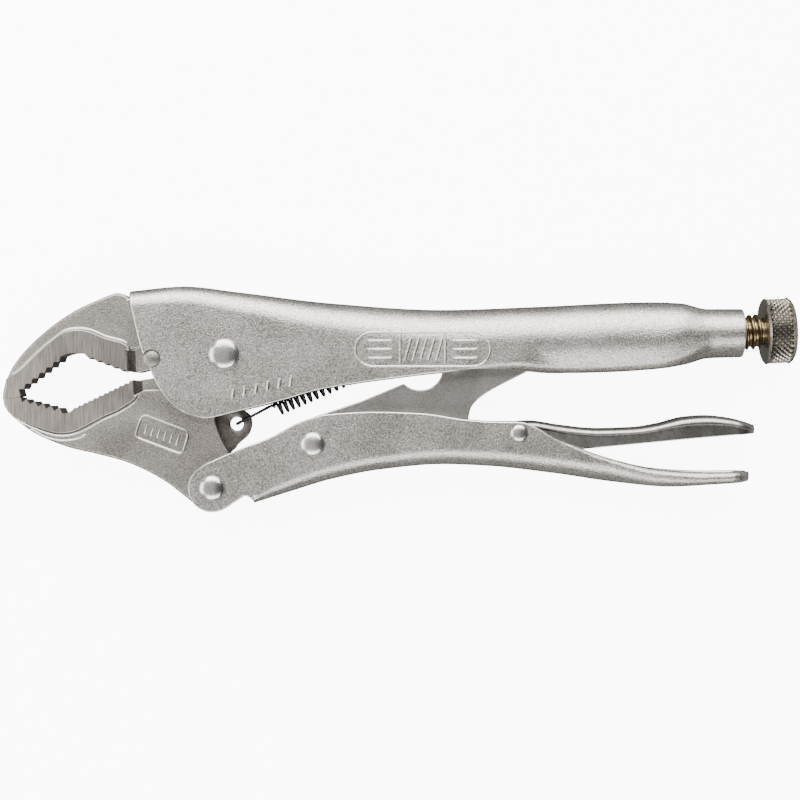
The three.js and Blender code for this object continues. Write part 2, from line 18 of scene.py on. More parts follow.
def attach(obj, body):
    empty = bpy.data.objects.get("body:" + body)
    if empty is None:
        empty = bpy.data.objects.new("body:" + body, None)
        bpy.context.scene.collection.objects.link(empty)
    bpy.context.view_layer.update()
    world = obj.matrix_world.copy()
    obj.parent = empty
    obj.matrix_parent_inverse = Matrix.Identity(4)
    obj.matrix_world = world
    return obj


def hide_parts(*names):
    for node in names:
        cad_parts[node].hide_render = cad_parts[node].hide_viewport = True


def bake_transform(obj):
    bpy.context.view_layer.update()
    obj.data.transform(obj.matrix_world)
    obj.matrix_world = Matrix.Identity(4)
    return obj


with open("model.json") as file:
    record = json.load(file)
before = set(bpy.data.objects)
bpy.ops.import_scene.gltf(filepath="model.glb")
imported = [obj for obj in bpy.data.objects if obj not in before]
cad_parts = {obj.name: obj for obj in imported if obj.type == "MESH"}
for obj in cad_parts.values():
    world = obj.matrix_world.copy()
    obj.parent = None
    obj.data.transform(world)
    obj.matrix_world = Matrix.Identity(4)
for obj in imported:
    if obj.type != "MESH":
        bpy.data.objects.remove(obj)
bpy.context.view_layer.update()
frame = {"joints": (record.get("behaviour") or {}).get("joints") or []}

Point = tuple[float, float]
Curve = Callable[[float], float]
Piece = bpy.types.Object

MM = 0.001
JOINTS = {joint["name"]: joint for joint in frame["joints"]}
PIVOT = Vector(JOINTS["jaw_hinge"]["pos_m"])
log = logging.getLogger("pliers")

SHEET = 2.2
CHEEK_OUT = 8.85
JAW_HALF = 6.35
NOSE_HALF = 4.6
NOSE_FROM = -40.0
NOSE_TO = -70.0


# ---------------------------------------------------------------- outlines


def keyed(keys: Sequence[Point]) -> Curve:
    """A value that changes smoothly along X through its keys, without overshoot.

    Args:
        keys: (x, value) pairs, by rising x.

    Returns:
        A function of x.
    """
    slopes = [(b[1] - a[1]) / (b[0] - a[0]) for a, b in zip(keys, keys[1:])]
    tangents = [slopes[0]]
    for a, b in zip(slopes, slopes[1:]):
        tangents.append(0.0 if a * b <= 0 else 2 * a * b / (a + b))
    tangents.append(slopes[-1])

    def value(x: float) -> float:
        """The value at x."""
        if x <= keys[0][0]:
            return keys[0][1]
        if x >= keys[-1][0]:
            return keys[-1][1]
        i = next(k for k in range(len(keys)) if keys[k + 1][0] > x)
        width = keys[i + 1][0] - keys[i][0]
        t = (x - keys[i][0]) / width
        return (
            (2 * t**3 - 3 * t**2 + 1) * keys[i][1]
            + (t**3 - 2 * t**2 + t) * width * tangents[i]
            + (3 * t**2 - 2 * t**3) * keys[i + 1][1]
            + (t**3 - t**2) * width * tangents[i + 1]
        )

    return value


def flowing(points: Sequence[Point], steps: int = 6) -> list[Point]:
    """A smooth line through a few points, as short chords."""
    ends = [tuple(2 * a - b for a, b in zip(points[0], points[1]))]
    ends += list(points) + [tuple(2 * a - b for a, b in zip(points[-1], points[-2]))]
    line: list[Point] = []
    for a, b, c, d in zip(ends, ends[1:], ends[2:], ends[3:]):
        for k in range(steps):
            t = k / steps
            line.append(
                tuple(
                    0.5 * (2 * q + (r - p) * t + (2 * p - 5 * q + 4 * r - s) * t**2 + (3 * q - p - 3 * r + s) * t**3)
                    for p, q, r, s in zip(a, b, c, d)
                )
            )
    return line + [tuple(points[-1])]


def arc(centre: Point, radius: float, start: float, end: float, steps: int) -> list[Point]:
    """Part of a circle, from one angle to another in degrees."""
    turn = [math.radians(start + (end - start) * k / steps) for k in range(steps + 1)]
    return [(centre[0] + radius * math.cos(a), centre[1] + radius * math.sin(a)) for a in turn]


def teeth(start: Point, end: Point, count: int, depth: float, crest: float) -> list[Point]:
    """Saw teeth between two points.

    Args:
        start: Foot of the first tooth.
        end: Foot of the last tooth.
        count: How many teeth.
        depth: Height of a crest over the line of feet.
        crest: Where a crest stands in its pitch, from 0 to 1.

    Returns:
        The outline, both feet included.
    """
    step = Vector((end[0] - start[0], end[1] - start[1])) / count
    out = Vector((-step.y, step.x)).normalized() * depth
    line = [start]
    for k in range(count):
        top = Vector(start) + step * (k + crest) + out
        foot = Vector(start) + step * (k + 1)
        line += [tuple(top), tuple(foot)]
    return line


def spread(line: Sequence[Point], count: int) -> list[Point]:
    """The same line as count even chords."""
    lengths = [0.0]
    for a, b in zip(line, line[1:]):
        lengths.append(lengths[-1] + math.dist(a, b))
    even: list[Point] = []
    k = 0
    for n in range(count + 1):
        target = lengths[-1] * n / count
        while k < len(line) - 2 and lengths[k + 1] < target:
            k += 1
        span = lengths[k + 1] - lengths[k]
        t = min(max((target - lengths[k]) / span, 0.0), 1.0) if span > 0 else 0.0
        even.append(tuple(p + (q - p) * t for p, q in zip(line[k], line[k + 1])))
    return even


def evenly(start: float, end: float, count: int) -> list[float]:
    """Evenly spaced numbers, both ends included."""
    return [start + (end - start) * k / count for k in range(count + 1)]


def at(x: float, y: float, z: float = 0.0) -> Vector:
    """A place in metres from one in millimetres."""
    return Vector((x, y, z)) * MM


# ---------------------------------------------------------------- finishes


class Mark(Enum):
    """What the last tool left on a surface."""

    BLASTED = "blasted"
    GROUND = "ground"
    POLISHED = "polished"


class Board:
    """A node tree with short ways to place and wire its nodes."""

    def __init__(self, tree: bpy.types.NodeTree) -> None:
        """Starts on an empty tree."""
        self.tree = tree
        tree.nodes.clear()

    def put(self, kind: str, inputs: dict[object, object] | None = None, **fields: object) -> bpy.types.Node:
        """Places a node.

        Args:
            kind: Blender's name of the node, without its prefix.
            inputs: Input name or number to a value or to an output socket.
            fields: Settings of the node itself.

        Returns:
            The node.
        """
        node = self.tree.nodes.new("ShaderNode" + kind)
        for name, value in fields.items():
            setattr(node, name, value)
        for socket, value in (inputs or {}).items():
            if isinstance(value, bpy.types.NodeSocket):
                self.tree.links.new(value, node.inputs[socket])
            else:
                node.inputs[socket].default_value = value
        return node


def effect_group(name: str, scale: float, outputs: Sequence[str]) -> tuple[Board, bpy.types.Node]:
    """An empty shader group that reads a place called Vector and a Scale, and gives masks.

    Args:
        name: Its name.
        scale: What Scale is when nothing is given.
        outputs: Names of the masks.

    Returns:
        The board that it is wired on, and the node that its inputs come from.
    """
    tree = bpy.data.node_groups.new(name, "ShaderNodeTree")
    board = Board(tree)
    tree.interface.new_socket("Vector", in_out="INPUT", socket_type="NodeSocketVector")
    tree.interface.new_socket("Scale", in_out="INPUT", socket_type="NodeSocketFloat").default_value = scale
    for label in outputs:
        tree.interface.new_socket(label, in_out="OUTPUT", socket_type="NodeSocketFloat")
    return board, tree.nodes.new("NodeGroupInput")


def close_group(board: Board, **masks: bpy.types.Node) -> bpy.types.NodeTree:
    """Wires the first output of these nodes to the masks that a group gives."""
    sink = board.tree.nodes.new("NodeGroupOutput")
    for label, node in masks.items():
        board.tree.links.new(node.outputs[0], sink.inputs[label])
    return board.tree


def blasted_group() -> bpy.types.NodeTree:
    """The pebbled skin of blasted and plated steel, in two sizes of grain."""
    board, source = effect_group("blasted_skin", 1000.0, ("Height", "Tone"))
    coarse = board.put(
        "TexNoise",
        {"Vector": source.outputs["Vector"], "Scale": source.outputs["Scale"], "Detail": 1.0, "Roughness": 0.5},
    )
    fine_scale = board.put("Math", {0: source.outputs["Scale"], 1: 1.9}, operation="MULTIPLY")
    fine = board.put("TexNoise", {"Vector": source.outputs["Vector"], "Scale": fine_scale.outputs[0], "Detail": 1.0})
    height = board.put("Math", {0: fine.outputs[0], 1: 0.55, 2: coarse.outputs[0]}, operation="MULTIPLY_ADD")
    return close_group(board, Height=height, Tone=coarse)


def ground_group() -> bpy.types.NodeTree:
    """Fine lines left by a grinding wheel, running along Y."""
    board, source = effect_group("ground_lines", 1000.0, ("Height", "Tone"))
    drawn = board.put(
        "Mapping", {"Vector": source.outputs["Vector"], "Scale": (1.0, 0.045, 0.3), "Rotation": (0, 0, 0.06)}
    )
    lines = board.put(
        "TexNoise",
        {"Vector": drawn.outputs[0], "Scale": source.outputs["Scale"], "Detail": 4.0, "Roughness": 0.6},
    )
    return close_group(board, Height=lines, Tone=lines)


def handling_group() -> bpy.types.NodeTree:
    """Broad clouds of handling and uneven plating."""
    board, source = effect_group("handling", 60.0, ("Cloud",))
    cloud = board.put(
        "TexNoise",
        {"Vector": source.outputs["Vector"], "Scale": source.outputs["Scale"], "Detail": 2.0, "Distortion": 0.6},
    )
    spread_out = board.put("MapRange", {0: cloud.outputs[0], 1: 0.32, 2: 0.68})
    return close_group(board, Cloud=spread_out)


TONE_LOW = 0.3
TONE_HIGH = 0.7
CLOUD_SHARE = 0.14


@dataclass(frozen=True)
class Finish:
    """One metal surface.

    Attributes:
        name: Its name.
        light: Colour of its high spots.
        dark: Colour of its low spots.
        rough: Roughness where it is cleanest.
        dull: Roughness where it is cloudiest.
        mark: What the last tool left.
        grain: Size of that mark's repeat, in millimetres.
        relief: Depth of that mark, in millimetres.
        metal: How metallic it is.
    """

    name: str
    light: tuple[float, float, float]
    dark: tuple[float, float, float]
    rough: float
    dull: float
    mark: Mark = Mark.BLASTED
    grain: float = 0.8
    relief: float = 0.03
    metal: float = 1.0

    def material(self) -> bpy.types.Material:
        """The material, made once."""
        if self.name in MATERIALS:
            return MATERIALS[self.name]
        made = MATERIALS[self.name] = bpy.data.materials.new(f"finish_{self.name}")
        made.use_nodes = True
        board = Board(made.node_tree)
        place = board.put("TexCoord").outputs["Object"]
        group = GROUPS["ground"] if self.mark is Mark.GROUND else GROUPS["blasted"]
        skin = board.put("Group", {}, node_tree=group)
        board.tree.links.new(place, skin.inputs["Vector"])
        skin.inputs["Scale"].default_value = 1 / (self.grain * MM)
        clouds = board.put("Group", {}, node_tree=GROUPS["handling"])
        board.tree.links.new(place, clouds.inputs["Vector"])
        tone = board.put("MapRange", {0: skin.outputs["Tone"], 1: TONE_LOW, 2: TONE_HIGH})
        shares = {0: clouds.outputs["Cloud"], 1: CLOUD_SHARE, 2: tone.outputs[0]}
        mixed = board.put("Math", shares, operation="MULTIPLY_ADD")
        colour = self._blend(board, mixed.outputs[0])
        rough = board.put("MapRange", {0: clouds.outputs["Cloud"], 3: self.rough, 4: self.dull})
        bump = board.put("Bump", {"Height": skin.outputs["Height"], "Distance": self.relief * MM, "Strength": 1.0})
        shader = board.put(
            "BsdfPrincipled",
            {
                "Base Color": colour,
                "Metallic": self.metal,
                "Roughness": rough.outputs[0],
                "Normal": bump.outputs[0],
            },
        )
        board.put("OutputMaterial", {"Surface": shader.outputs[0]})
        return made

    def _blend(self, board: Board, factor: bpy.types.NodeSocket) -> bpy.types.NodeSocket:
        """The colour between the dark and the light one."""
        ramp = board.put("ValToRGB", {0: factor})
        ramp.color_ramp.elements[0].color = (*self.dark, 1.0)
        ramp.color_ramp.elements[1].color = (*self.light, 1.0)
        ramp.color_ramp.elements[1].position = 1.0
        return ramp.outputs[0]


MATERIALS: dict[str, bpy.types.Material] = {}
GROUPS = {"blasted": blasted_group(), "ground": ground_group(), "handling": handling_group()}

SATIN_NICKEL = Finish("satin_nickel", (0.79, 0.755, 0.70), (0.29, 0.276, 0.252), 0.29, 0.35, grain=0.5, relief=0.11)
# Worn cut edges of the nickel sheet, lighter than the faces: partly real wear, partly a painted highlight.
WORN_HIGHLIGHT_NICKEL = Finish("worn_highlight_nickel", (0.90, 0.88, 0.84), (0.72, 0.705, 0.67), 0.24, 0.32, grain=0.6, relief=0.01)
FORGED_STEEL = Finish("forged_steel", (0.54, 0.50, 0.46), (0.26, 0.24, 0.22), 0.30, 0.38, grain=0.48, relief=0.09)
GROUND_STEEL = Finish(
    "ground_steel", (0.54, 0.492, 0.448), (0.24, 0.22, 0.20), 0.30, 0.38, Mark.GROUND, grain=0.34, relief=0.06
)
LINE_STEEL = Finish("line_steel", (0.62, 0.59, 0.56), (0.42, 0.40, 0.375), 0.27, 0.35, grain=0.5, relief=0.02)
BOSS_STEEL = Finish("boss_steel", (0.42, 0.395, 0.365), (0.24, 0.225, 0.205), 0.30, 0.40, grain=0.5, relief=0.05)
TAB_STEEL = Finish("tab_steel", (0.27, 0.25, 0.225), (0.15, 0.138, 0.125), 0.36, 0.45, grain=0.5, relief=0.05)
# Worn forged edges, lighter than the faces: partly real wear, partly a painted highlight.
WORN_HIGHLIGHT_STEEL = Finish("worn_highlight_steel", (0.80, 0.77, 0.73), (0.58, 0.55, 0.52), 0.26, 0.34, grain=0.5, relief=0.01)
# Near-black forge scale with painted shade on the pad's rear end; the dark groove lines use it as painted shade only.
SCALE_AND_SHADE_STEEL = Finish("scale_and_shade_steel", (0.12, 0.11, 0.10), (0.05, 0.046, 0.042), 0.42, 0.5, grain=0.5, relief=0.05)
# Nickel painted darker as painted shade, for the link that lies deep between the handles.
PAINTED_SHADE_NICKEL = Finish("dark_nickel", (0.46, 0.44, 0.415), (0.29, 0.28, 0.265), 0.33, 0.41, grain=0.42, relief=0.05)
LEVER_NICKEL = Finish(
    "lever_nickel", (0.48, 0.465, 0.44), (0.36, 0.35, 0.33), 0.25, 0.33, Mark.POLISHED, grain=1.4, relief=0.006
)
DOME_NICKEL = Finish(
    "dome_nickel", (0.84, 0.83, 0.80), (0.66, 0.65, 0.62), 0.22, 0.30, Mark.POLISHED, grain=0.9, relief=0.02
)
YELLOW_ZINC = Finish(
    "yellow_zinc", (0.36, 0.275, 0.145), (0.12, 0.095, 0.06), 0.22, 0.34, Mark.POLISHED, grain=0.7, relief=0.015
)
# The knurl's roots painted near-black: painted shade in the recesses.
KNURL_ROOT_SHADE = Finish("knurl_root_shade", (0.13, 0.12, 0.105), (0.06, 0.056, 0.05), 0.35, 0.45, grain=0.5, relief=0.02)
KNURLED_NICKEL = Finish(
    "knurled_nickel", (0.72, 0.675, 0.585), (0.30, 0.28, 0.24), 0.22, 0.32, Mark.POLISHED, grain=0.7, relief=0.01
)
BLACK_WIRE = Finish(
    "black_wire", (0.035, 0.036, 0.038), (0.018, 0.018, 0.02), 0.34, 0.44, Mark.POLISHED, 0.7, 0.006, metal=0.4
)
# The jaws' slots: forged web, ground pad, worn edges painted lighter as a highlight, and forge scale with painted
# shade.
JAW_FINISHES = (FORGED_STEEL, GROUND_STEEL, WORN_HIGHLIGHT_STEEL, SCALE_AND_SHADE_STEEL)


# ---------------------------------------------------------------- the modelling bench


def focus(piece: Piece) -> None:
    """Selects one piece alone and makes it active."""
    bpy.ops.object.select_all(action="DESELECT")
    piece.select_set(True)
    bpy.context.view_layer.objects.active = piece


def named(name: str) -> Piece:
    """The piece just added, under its own name."""
    piece = bpy.context.object
    piece.name = name
    piece.data.name = name
    return piece


def move_corners(piece: Piece, places: Iterable[Vector]) -> None:
    """Sets every corner of a mesh, in order."""
    piece.data.vertices.foreach_set("co", [c for place in places for c in place])
    piece.data.update()


def cloth_grid(name: str, rows: Sequence[Sequence[Vector]]) -> Piece:
    """A grid laid over rows of places that all have the same count."""
    bpy.ops.object.select_all(action="DESELECT")
    bpy.ops.mesh.primitive_grid_add(x_subdivisions=len(rows[0]) - 1, y_subdivisions=len(rows) - 1, size=MM)
    piece = named(name)
    move_corners(piece, (place for row in rows for place in row))
    return piece


def pressed_sheet(name: str, rows: Sequence[Sequence[tuple[float, float, float]]], web: int) -> Piece:
    """A sheet bent round the mid plane, its outside facing out.

    Args:
        name: Its name.
        rows: Lines of (x, y, z) places on the near half, in millimetres, the last on the mid plane.
        web: Where its closed side is, 1 for the upper and -1 for the lower side.

    Returns:
        The sheet, without thickness.
    """
    near = [[at(*place) for place in line] for line in rows]
    far = [[at(x, y, -z) for x, y, z in line] for line in rows[:-1]]
    piece = cloth_grid(name, near + far[::-1])
    outermost = max(piece.data.polygons, key=lambda face: web * face.center.y)
    if web * outermost.normal.y < 0:
        in_edit(piece, lambda: bpy.ops.mesh.flip_normals())
    return piece


def flat_face(name: str, outline: Sequence[Point]) -> Piece:
    """One flat face with this outline, facing +Z."""
    bpy.ops.object.select_all(action="DESELECT")
    bpy.ops.mesh.primitive_circle_add(vertices=len(outline), radius=MM, fill_type="NGON")
    piece = named(name)
    area = sum(a[0] * b[1] - b[0] * a[1] for a, b in zip(outline, [*outline[1:], outline[0]]))
    ordered = outline if area > 0 else outline[::-1]
    move_corners(piece, (at(*point) for point in ordered))
    if piece.data.polygons[0].normal.z < 0:
        move_corners(piece, (at(*point) for point in ordered[::-1]))
    return piece


def joined(pieces: Sequence[Piece], merge: float = 0.0) -> Piece:
    """One piece out of several, under the first one's name, corners closer than merge made one."""
    focus(pieces[0])
    for piece in pieces[1:]:
        piece.select_set(True)
    if len(pieces) > 1:
        bpy.ops.object.join()
    if merge > 0:
        in_edit(pieces[0], lambda: bpy.ops.mesh.remove_doubles(threshold=merge))
    return pieces[0]


def in_edit(piece: Piece, work: Callable[[], object], everything: bool = True) -> None:
    """Does some work in edit mode.

    Args:
        piece: The piece to work on.
        work: The operators to run.
        everything: Whether all of the mesh is selected first.
    """
    focus(piece)
    bpy.ops.object.mode_set(mode="EDIT")
    if everything:
        bpy.ops.mesh.select_all(action="SELECT")
    work()
    bpy.ops.object.mode_set(mode="OBJECT")


def pick_faces(piece: Piece, test: Callable[[bpy.types.MeshPolygon], bool]) -> None:
    """Selects the faces that pass a test, and nothing else."""
    focus(piece)
    bpy.ops.object.mode_set(mode="EDIT")
    bpy.ops.mesh.select_mode(type="FACE")
    bpy.ops.mesh.select_all(action="DESELECT")
    bpy.ops.object.mode_set(mode="OBJECT")
    for face in piece.data.polygons:
        face.select = test(face)


def modify(piece: Piece, kind: str, **settings: object) -> None:
    """Adds a modifier with these settings and applies it."""
    focus(piece)
    modifier = piece.modifiers.new(kind.title(), kind)
    for name, value in settings.items():
        setattr(modifier, name, value)
    bpy.ops.object.modifier_apply(modifier=modifier.name)


def cut(piece: Piece, tool: Piece) -> None:
    """Cuts with a closed tool, which is then thrown away."""
    modify(piece, "BOOLEAN", operation="DIFFERENCE", object=tool, solver="EXACT")
    bpy.data.objects.remove(tool)


def outwards(piece: Piece) -> None:
    """Turns every face of a closed piece outwards."""
    in_edit(piece, lambda: bpy.ops.mesh.normals_make_consistent(inside=False))


def bevel(piece: Piece, chosen: set[int], width: float, segments: int, slot: int) -> None:
    """Rounds these edges.

    Args:
        piece: The piece.
        chosen: Numbers of the edges.
        width: Width of the rounding in millimetres.
        segments: Facets across it.
        slot: Slot of the material that the rounding gets, or -1 for its neighbours'.
    """
    focus(piece)
    bpy.ops.object.mode_set(mode="EDIT")
    bpy.ops.mesh.select_mode(type="EDGE")
    bpy.ops.mesh.select_all(action="SELECT")
    bpy.ops.transform.edge_bevelweight(value=-1.0)
    bpy.ops.mesh.select_all(action="DESELECT")
    bpy.ops.object.mode_set(mode="OBJECT")
    for edge in piece.data.edges:
        edge.select = edge.index in chosen
    in_edit(piece, lambda: bpy.ops.transform.edge_bevelweight(value=1.0), everything=False)
    modify(
        piece,
        "BEVEL",
        width=width * MM,
        segments=segments,
        limit_method="WEIGHT",
        material=slot,
        use_clamp_overlap=False,
        miter_outer="MITER_ARC",
    )


def round_edges(
    piece: Piece,
    width: float,
    segments: int = 3,
    over: float = 35.0,
    worn_highlight: int = 0,
    where: Callable[[Vector, Vector], bool] | None = None,
) -> None:
    """Rounds the edges that are sharper than an angle.

    Args:
        piece: The piece.
        width: Width of the rounding in millimetres.
        segments: Facets across it.
        over: The least angle that is rounded, in degrees.
        worn_highlight: Slot of the material that the rounding gets, such as worn edges painted lighter as a highlight,
            or -1 for its neighbours'.
        where: Says of an edge's two ends, in millimetres, whether it is rounded.
    """
    sides: dict[tuple[int, int], list[Vector]] = {}
    for face in piece.data.polygons:
        for key in face.edge_keys:
            sides.setdefault(key, []).append(face.normal)
    corners = piece.data.vertices
    chosen = set()
    for edge in piece.data.edges:
        normals = sides.get(edge.key, [])
        if len(normals) == 2 and normals[0].angle(normals[1], 0.0) > math.radians(over):
            if where is None or where(*(corners[k].co / MM for k in edge.vertices)):
                chosen.add(edge.index)
    bevel(piece, chosen, width, segments, worn_highlight)


def thicken(piece: Piece, width: float, group: str = "", wall: float = SHEET) -> None:
    """Gives an open sheet its wall, inwards, and rounds both sides of its cut edge.

    Args:
        piece: The sheet, with its outside facing out; slot 1 is the cut edge's material.
        width: Width of each rounding in millimetres.
        group: Vertex group that scales the wall.
        wall: The wall in millimetres.
    """
    modify(
        piece,
        "SOLIDIFY",
        thickness=wall * MM,
        offset=-1,
        use_even_offset=True,
        vertex_group=group,
        material_offset_rim=1,
    )
    rim_corners: dict[tuple[int, int], int] = {}
    for face in piece.data.polygons:
        for edge in face.edge_keys:
            rim_corners[edge] = rim_corners.get(edge, 0) + (1 if face.material_index else 10)
    cut_edges = {edge.index for edge in piece.data.edges if rim_corners.get(edge.key) == 11}
    bevel(piece, cut_edges, width, 3, 1)


def smooth(piece: Piece, weighted: bool = True, angle: float = 40.0) -> None:
    """Shades a piece smooth; weighted keeps its large flat faces flat."""
    focus(piece)
    bpy.ops.object.shade_smooth_by_angle(angle=math.radians(angle))
    if weighted:
        modify(piece, "WEIGHTED_NORMAL", keep_sharp=True, mode="FACE_AREA", weight=70)


def settle(piece: Piece) -> Piece:
    """Carries a piece drawn from the main pivot to its place in the model."""
    focus(piece)
    piece.location = PIVOT
    bpy.ops.object.transform_apply(location=True, rotation=True, scale=True)
    return piece


def wire(name: str, path: Sequence[Vector], radius: float, closed: bool = False, sides: int = 2) -> Piece:
    """A round wire along a path.

    Args:
        name: Its name.
        path: The places along its middle line, in metres.
        radius: Its radius in millimetres.
        closed: Whether it meets itself.
        sides: Blender's bevel resolution.

    Returns:
        The wire as a mesh.
    """
    bpy.ops.object.select_all(action="DESELECT")
    bpy.ops.curve.primitive_nurbs_path_add()
    piece = named(name)
    piece.data.splines.clear()
    line = piece.data.splines.new("POLY")
    line.points.add(len(path) - 1)
    for point, place in zip(line.points, path):
        point.co = (*place, 1.0)
    line.use_cyclic_u = closed
    piece.data.dimensions = "3D"
    piece.data.twist_mode = "MINIMUM"
    piece.data.bevel_depth = radius * MM
    piece.data.bevel_resolution = sides
    piece.data.use_fill_caps = not closed
    focus(piece)
    bpy.ops.object.convert(target="MESH")
    return piece


def lathe(
    name: str, profile: Sequence[Point], around: int, dent: Callable[[float, float], float] | None = None
) -> Piece:
    """A closed body turned about its own Z axis.

    Args:
        name: Its name.
        profile: (height, radius) pairs in millimetres; the ends stand on the axis.
        around: Facets in a turn.
        dent: What is taken off the radius at a height and an angle.

    Returns:
        The body, standing on the origin.
    """
    rows = []
    for height, radius in profile:
        row = []
        for k in range(around + 1):
            turn = 2 * math.pi * (k % around) / around
            r = radius - (dent(height, turn) if dent else 0.0)
            row.append(at(r * math.cos(turn), r * math.sin(turn), height))
        rows.append(row)
    piece = cloth_grid(name, rows)
    in_edit(piece, lambda: bpy.ops.mesh.remove_doubles(threshold=1e-7))
    outwards(piece)
    return piece


def stand(piece: Piece, place: Vector, tilt: Matrix | None = None) -> Piece:
    """Turns and moves a piece, in its mesh."""
    turn = tilt.to_4x4() if tilt else Matrix.Identity(4)
    piece.data.transform(Matrix.Translation(place) @ turn)
    return piece


@dataclass(frozen=True)
class Tile:
    """One flat patch of a forging's side.

    Attributes:
        outline: Its border, shared point for point with its neighbours.
        height: How far it stands above the mid plane.
        finish: Slot of its material.
    """

    outline: Sequence[Point]
    height: float
    finish: int = 0


def stepped_plate(name: str, tiles: Sequence[Tile], *finishes: Finish) -> Piece:
    """A forging out of tiles at their own heights, the same on both sides of its mid plane.

    Args:
        name: Its name.
        tiles: Its patches.
        finishes: Its materials, which the tiles name by number.

    Returns:
        The closed piece.
    """
    faces = []
    for number, tile in enumerate(tiles):
        faces.append(flat_face(f"{name}_{number}", tile.outline))
    piece = joined(faces, merge=1e-6)
    piece.name = name
    for _ in range(max(3, len(tiles))):
        piece.data.materials.append(None)
    piece.data.polygons.foreach_set("material_index", range(len(tiles)))
    ground = 0.0
    for level in sorted({tile.height for tile in tiles}):
        pick_faces(
            piece,
            lambda face: abs(face.normal.z) > 0.9
            and abs(face.center.z - ground * MM) < 1e-7
            and tiles[face.material_index].height >= level - 1e-9,
        )
        rise = (level - ground) * MM
        in_edit(
            piece,
            lambda: bpy.ops.mesh.extrude_region_move(TRANSFORM_OT_translate={"value": (0, 0, rise)}),
            everything=False,
        )
        ground = level
    pick_faces(piece, lambda face: all(abs(piece.data.vertices[v].co.z) < 1e-7 for v in face.vertices))
    in_edit(piece, lambda: bpy.ops.mesh.delete(type="ONLY_FACE"), everything=False)
    modify(piece, "MIRROR", use_axis=(False, False, True), use_mirror_merge=True, merge_threshold=1e-6)
    outwards(piece)
    slots = [tiles[face.material_index].finish if abs(face.normal.z) > 0.9 else 0 for face in piece.data.polygons]
    piece.data.polygons.foreach_set("material_index", slots)
    return coat(piece, *finishes) if finishes else piece


def bore(piece: Piece, place: Point, radius: float, reach: float, facets: int = 36) -> None:
    """Cuts a round hole.

    Args:
        piece: The piece.
        place: Its middle.
        radius: Its radius in millimetres.
        reach: How far the cutter goes to each side of the mid plane.
        facets: Facets in a turn.
    """
    ring = arc(place, radius, 0, 360 - 360 / facets, facets - 1)
    cut(piece, stepped_plate("cutter", [Tile(ring, reach)]))


def jaw_face(x: float, height: float) -> float:
    """How far a forged face that stands at a height before the nose is thinned stands at x."""
    share = min(max((x - NOSE_FROM) / (NOSE_TO - NOSE_FROM), 0.0), 1.0)
    return height * (1 + share * (NOSE_HALF / JAW_HALF - 1))


def taper_nose(piece: Piece) -> None:
    """Thins a jaw evenly from its middle to its tip."""
    for x in (NOSE_FROM, NOSE_TO):
        in_edit(piece, lambda: bpy.ops.mesh.bisect(plane_co=at(x, 0), plane_no=(1, 0, 0)))
    for corner in piece.data.vertices:
        corner.co.z *= jaw_face(corner.co.x / MM, 1.0)
    piece.data.update()


def bead(
    name: str,
    path: Sequence[Point],
    width: float,
    rise: float,
    surface: Callable[[float, float], float],
    finish: Finish,
    closed: bool = False,
) -> list[Piece]:
    """A raised line pressed or forged into a face, as a wire sunk into it.

    Args:
        name: Its name.
        path: Its middle line.
        width: Its width where it leaves the face, in millimetres.
        rise: How far it stands out.
        surface: Height of the face at a point.
        finish: Its material.
        closed: Whether the line meets itself.

    Returns:
        The lines on the two sides of the tool.
    """
    radius = (width**2 / 4 + rise**2) / (2 * rise)
    line = path if closed else spread(path, max(len(path), round(math.dist(path[0], path[-1]) / 0.6)))
    made = []
    for side in (1, -1):
        places = []
        for x, y in line:
            end = 1.0 if closed else min(math.dist((x, y), line[0]), math.dist((x, y), line[-1]), width) / width
            places.append(at(x, y, side * (surface(x, y) + rise - radius - 1.3 * rise * (1 - end) ** 2)))
        made.append(coat(wire(f"{name}_{side}", places, radius, closed, sides=2), finish))
    return made


def coat(piece: Piece, *finishes: Finish) -> Piece:
    """Gives a piece one material for each of its slots and keeps which face is in which slot."""
    kept = [face.material_index for face in piece.data.polygons]
    piece.data.materials.clear()
    for finish in finishes:
        piece.data.materials.append(finish.material())
    piece.data.polygons.foreach_set("material_index", [min(slot, len(finishes) - 1) for slot in kept])
    return piece


def dress(piece: Piece, body: str, node: str) -> None:
    """Puts a finished piece in its place and on its body, in place of the node it stands for.

    Args:
        piece: The piece.
        body: The body that it rides on, or empty for a piece that rides on none.
        node: The node that it replaces.
    """
    settle(piece)
    if body:
        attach(piece, body)
    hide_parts(node)
    log.info("%s: %d faces", piece.name, len(piece.data.polygons))


# ---------------------------------------------------------------- upper handle


